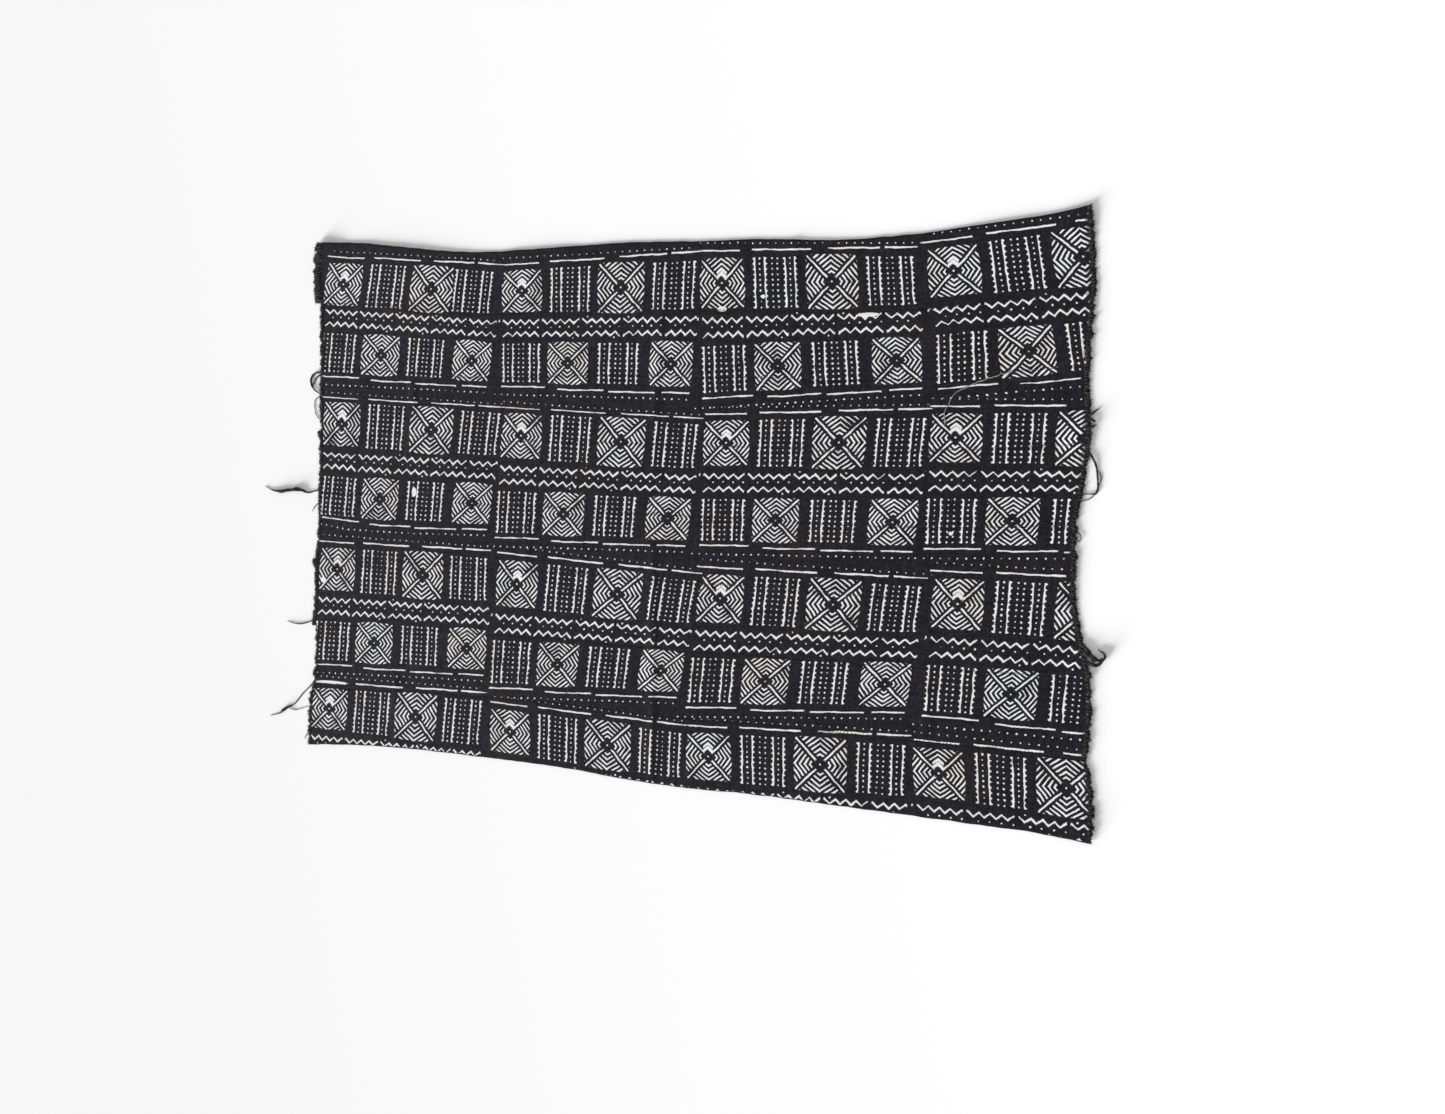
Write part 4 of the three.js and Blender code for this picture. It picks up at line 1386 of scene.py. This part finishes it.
# %% Loose threads
LOOSE_THREADS = [
    {
        "fray": (3, "left"),
        "root": 257,
        "path": [(-708, 253, 4.5), (-716, 243, 4.5), (-714, 231, 5.5), (-706, 220, 3.5)],
        "end": 212,
    },
    {"fray": (3, "left"), "root": 252, "path": [(-704, 245, 3), (-708, 236, 3), (-713, 230, 3)]},
    {
        "fray": (3, "left"),
        "root": 209,
        "path": [(-704, 203, 1.8), (-707, 194, 1.8), (-706, 180, 1.8), (-701, 168, 1.8)],
        "end": 160,
    },
    {
        "fray": (4, "left"),
        "root": 20,
        "path": [
            (-706, 16.5, 2.4),
            (-720, 14, 3.6),
            (-732, 18, 6.5),
            (-746, 20, 9),
            (-760, 18, 7),
            (-772, 18, 8),
            (-787, 15, 8),
            (-801, 16, 4.4),
            (-813, 19, 2.2),
            (-826, 25, 1.2),
        ],
    },
    {"fray": (5, "left"), "root": -6, "path": [(-701, -12, 2), (-710, -24, 1.2)]},
    {"fray": (6, "left"), "root": -242, "path": [(-716, -250, 2.4), (-740, -254, 2.2), (-767, -250, 1.2)]},
    {
        "fray": (7, "left"),
        "root": -367,
        "path": [
            (-708, -380, 2.2),
            (-720, -391, 2.2),
            (-730, -401, 2.4),
            (-740, -413, 2.4),
            (-748, -421, 2.2),
            (-758, -425, 4.5),
            (-767, -430, 6.5),
            (-774, -435, 7),
            (-782, -441, 2.4),
            (-806, -448, 1),
        ],
    },
    {
        "fray": (7, "left"),
        "path": [(-758, -428, 1.6), (-745, -431, 1.8), (-732, -428, 1.2), (-718, -423, 1), (-711, -421, 1)],
    },
    {"fray": (8, "left"), "root": -472, "path": [(-714, -479, 2), (-720, -489, 1)]},
    {"fray": (3, "right"), "root": 167, "path": [(788, 169, 5), (794, 174, 3.4), (800, 178, 1.2)]},
    {"fray": (3, "right"), "root": 159, "path": [(789, 160, 6), (794, 157, 3)]},
    {"fray": (3, "right"), "root": 147, "path": [(790, 149, 6), (796, 152, 2.4)]},
    {
        "fray": (4, "right"),
        "root": 110,
        "path": [
            (789, 104, 4.5),
            (795, 94, 4.5),
            (799, 82, 3.2),
            (801, 66, 2.8),
            (802, 52, 3.6),
            (799, 43, 3.6),
            (791, 42, 2.2),
        ],
        "end": 42,
    },
    {"fray": (4, "right"), "path": [(799, 81, 1.6), (805, 74, 1.6), (806, 64, 1.6), (803, 56, 1.6)]},
    {"fray": (4, "right"), "path": [(798, 42, 1.8), (790, 34, 1.6)], "end": 29},
    {"fray": (5, "right"), "root": -18, "path": [(777, -22, 1.5), (779, -31, 1.4)], "end": -38},
    {"fray": (6, "right"), "root": -198, "path": [(797, -208, 6), (802, -218, 7), (808, -228, 8)]},
    {
        "fray": (6, "right"),
        "root": -213,
        "path": [(801, -216, 8), (808, -221, 8), (815, -223, 6), (819, -219, 4)],
    },
    {
        "fray": (6, "right"),
        "root": -226,
        "path": [
            (805, -230, 8),
            (811, -231, 7),
            (816, -227, 6),
            (820, -221, 5),
            (823.5, -215, 5),
            (819, -210, 4),
            (812, -205, 2),
        ],
    },
]
PATH_STEP = 2.5


def smooth_path(points):
    """Points every couple of millimetres on a smooth curve through the given ones."""
    points = np.array(points, float)
    ends = np.vstack([2 * points[0] - points[1], points, 2 * points[-1] - points[-2]])
    made = []
    for i in range(1, len(ends) - 2):
        before, here, after, later = ends[i - 1 : i + 3]
        steps = max(2, int(np.linalg.norm(after[:2] - here[:2]) / PATH_STEP))
        for t in np.arange(steps) / steps:
            bend = (later - 3 * after + 3 * here - before) * t
            turn = 2 * before - 5 * here + 4 * after - later
            made.append(here + 0.5 * t * (after - before + t * (turn + bend)))
    made.append(points[-1])
    return np.array(made)


def root_point(strip, side, y, width):
    """A point inside the band of a raw end, at the given y, where a thread starts or ends."""
    near = float(end_x(strip, side, 0.5))
    top, bottom = float(strip_y(strip, near, 0)), float(strip_y(strip, near, 1))
    across = (y - top) / (bottom - top)
    x = float(end_x(strip, side, across)) - SIDES[side][1] * ROOT_DEPTH
    return (x, y, width)


# %% Yarns of a lock
YARN_RADIUS = 0.9
YARN_SPACING = 0.38
LEAST_YARNS = 3
YARN_WIDTH_SHARE = 0.33
YARN_TURNS = (0.10, 0.22)
YARN_REACH = (0.7, 1.0)
YARN_DEPTH = (0.35, 1.0)
YARN_SHAKE = 0.25
LOCK_TALLNESS = 0.7
# The first yarns of a lock run its whole length, and the others stop somewhere before its end.
WHOLE_YARNS = 2


def lock_paths(thread, shuffle):
    """The yarns of one loose thread: each wanders inside the lock's width and lies on the floor."""
    strip, side = thread["fray"][0] - 1, thread["fray"][1]
    route = list(thread["path"])
    if "root" in thread:
        route.insert(0, root_point(strip, side, thread["root"], route[0][2]))
    if "end" in thread:
        route.append(root_point(strip, side, thread["end"], route[-1][2]))
    line = smooth_path(route)
    headings = np.gradient(line[:, :2], axis=0)
    headings /= np.linalg.norm(headings, axis=1)[:, None]
    ground = cloth_height(line[:, 0], line[:, 1])
    yarns = max(LEAST_YARNS, round(line[:, 2].max() / YARN_SPACING))
    paths = []
    for yarn in range(yarns):
        phase, turns = shuffle.uniform(0, math.tau), shuffle.uniform(*YARN_TURNS)
        reach = 1.0 if yarn < WHOLE_YARNS else shuffle.uniform(*YARN_REACH)
        depth = shuffle.uniform(*YARN_DEPTH)
        path = []
        for i in range(max(2, int(len(line) * reach))):
            radius = min(YARN_RADIUS, YARN_WIDTH_SHARE * line[i, 2])
            spare = depth * max(line[i, 2] / 2 - radius, 0.0)
            angle = phase + turns * i * PATH_STEP
            off = spare * math.cos(angle) + YARN_SHAKE * shuffle.uniform(-1, 1)
            x = line[i, 0] - headings[i, 1] * off
            y = line[i, 1] + headings[i, 0] * off
            lift = LOCK_TALLNESS * spare * (1 + math.sin(angle))
            path.append((x, y, ground[i] + radius + lift, radius))
        paths.append(path)
    return paths


# %% [markdown]
# A raw end is one piece: its band in the cloth's own cotton, with the maps that carry the print on, and its
# threads in loose cotton. They could be two objects, but the construction has one solid for both.

# %% Raw ends
def fray_piece(strip, side, shuffle):
    """The band and all the threads of one raw end."""
    paths = fringe_paths(strip, side, shuffle)
    for thread in LOOSE_THREADS:
        if thread["fray"] == (strip + 1, side):
            paths += lock_paths(thread, shuffle)
    piece = threads(f"raw_end_{strip + 1}_{side}", paths, raw_cotton)
    piece.data.materials.append(cotton)
    bm = band_mesh(strip, side)
    for face in bm.faces:
        face.material_index = 1
    bm.from_mesh(piece.data)
    bm.to_mesh(piece.data)
    bm.free()
    piece.data.shade_smooth()
    print_maps(piece.data, strip)
    return piece


fraying = random.Random(23)
frays = {(strip, side): fray_piece(strip, side, fraying) for strip in STRIPS for side in SIDES}
print("raw ends:", len(frays), "faces:", sum(len(p.data.polygons) for p in frays.values()))

# %% [markdown]
# One pale thread, pulled from somewhere else, lies curled on the printed face near the right end. It could be
# part of the print's material, but it casts a small shadow, so it is a thread like the others, with a little
# wander.

# %% Stray thread
STRAY_PATH = [(557, 152), (556, 172), (563, 188), (572, 203), (587, 212), (610, 222), (640, 232), (663, 238)]
STRAY_RADIUS = 0.7
WANDER_SIZE = 1.5
WANDER_STEP = 0.35
WANDER_ROW = 5.0


def stray_thread():
    """A thin thread that lies on the printed face."""
    line = smooth_path([(x, y, 0) for x, y in STRAY_PATH])
    ground = cloth_height(line[:, 0], line[:, 1]) + unevenness(line[:, 0], line[:, 1]) + CLOTH_THICKNESS
    path = []
    for i, (x, y, _) in enumerate(line):
        wander = WANDER_SIZE * noise.noise(Vector((i * WANDER_STEP, WANDER_ROW, 0)))
        path.append((x + wander, y - wander, ground[i] + STRAY_RADIUS, STRAY_RADIUS))
    return threads("stray_thread", [path], stray_cotton)


stray = stray_thread()
print("stray thread faces:", len(stray.data.polygons))

# %% [markdown]
# Each piece rides on the only body, and each strip and raw end hides the plain solid of the same name, which
# it stands for.

for strip, piece in zip(STRIPS, sheets):
    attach(piece, BODY)
    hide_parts(f"strip_{strip + 1}")
for (strip, side), piece in frays.items():
    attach(piece, BODY)
    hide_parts(f"strip_{strip + 1}_{side}_fray")
for piece in seams:
    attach(piece, BODY)
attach(stray, BODY)

# %% [markdown]
# A plain near-white floor under an even white sky. Its colour holds painted light: it is paler to the right,
# as if more light fell there. A low sun as wide as a lamp with a large shade comes from the lower left, so
# the thin cloth throws only narrow soft shadows along its upper and right-hand edges. An area lamp could do
# the same, but its light would fall off along a cloth this long.

# %% Floor
FLOOR_SIZE = 14.0
FLOOR_DEPTH = 0.0004
FLOOR_LEFT_PAINTED_DIM = "#f1f1f1"
FLOOR_RIGHT_PAINTED_LIT = "#fafafa"
PAINTED_LIGHT_SLOPE = (1.0, 0.25, 0.0)
PAINTED_LIGHT_SPAN = (-1.0, 0.9)
FLOOR_ROUGHNESS = 1.0
FLOOR_SPECKS = 40.0

floor_mesh = bpy.data.meshes.new("floor")
bm = bmesh.new()
bmesh.ops.create_grid(bm, x_segments=1, y_segments=1, size=FLOOR_SIZE / 2)
bmesh.ops.translate(bm, verts=bm.verts[:], vec=(0, 0, -FLOOR_DEPTH))
bm.to_mesh(floor_mesh)
bm.free()
floor_paint, tree = new_material("matt_floor")
where = add(tree, "ShaderNodeTexCoord").outputs["Object"]
# Painted light: the floor's colour grows paler towards the right, as if more light fell there.
across = add(tree, VECTOR, where, PAINTED_LIGHT_SLOPE, operation="DOT_PRODUCT").outputs["Value"]
share = add(tree, RANGE, across, *PAINTED_LIGHT_SPAN, 0.0, 1.0)
tone = add(tree, MIX, share, linear(FLOOR_LEFT_PAINTED_DIM), linear(FLOOR_RIGHT_PAINTED_LIT))
specks = add(tree, NOISE, where, None, FLOOR_SPECKS)
finish_material(tree, tone, FLOOR_ROUGHNESS, 0.0, 0.0, specks, 0.0)
floor_mesh.materials.append(floor_paint)
floor = bpy.data.objects.new("floor", floor_mesh)
bpy.context.scene.collection.objects.link(floor)
print("floor:", FLOOR_SIZE, "m wide")

# %% Light
SUN_STRENGTH = 7.4
SUN_SPREAD = math.radians(24)
SUN_FROM = Vector((-0.7, -0.7, 0.235))
SKY_STRENGTH = 0.52
WHITE = (1.0, 1.0, 1.0, 1.0)

sun_data = bpy.data.lights.new("sun", "SUN")
sun_data.energy = SUN_STRENGTH
sun_data.angle = SUN_SPREAD
sun = bpy.data.objects.new("sun", sun_data)
sun.rotation_euler = SUN_FROM.to_track_quat("Z", "Y").to_euler()
bpy.context.scene.collection.objects.link(sun)

world = bpy.data.worlds.new("sky")
world.use_nodes = True
world.node_tree.nodes["Background"].inputs["Color"].default_value = WHITE
world.node_tree.nodes["Background"].inputs["Strength"].default_value = SKY_STRENGTH
bpy.context.scene.world = world
bpy.context.scene.view_settings.view_transform = "Standard"
print("sun strength:", SUN_STRENGTH, "sky strength:", SKY_STRENGTH)
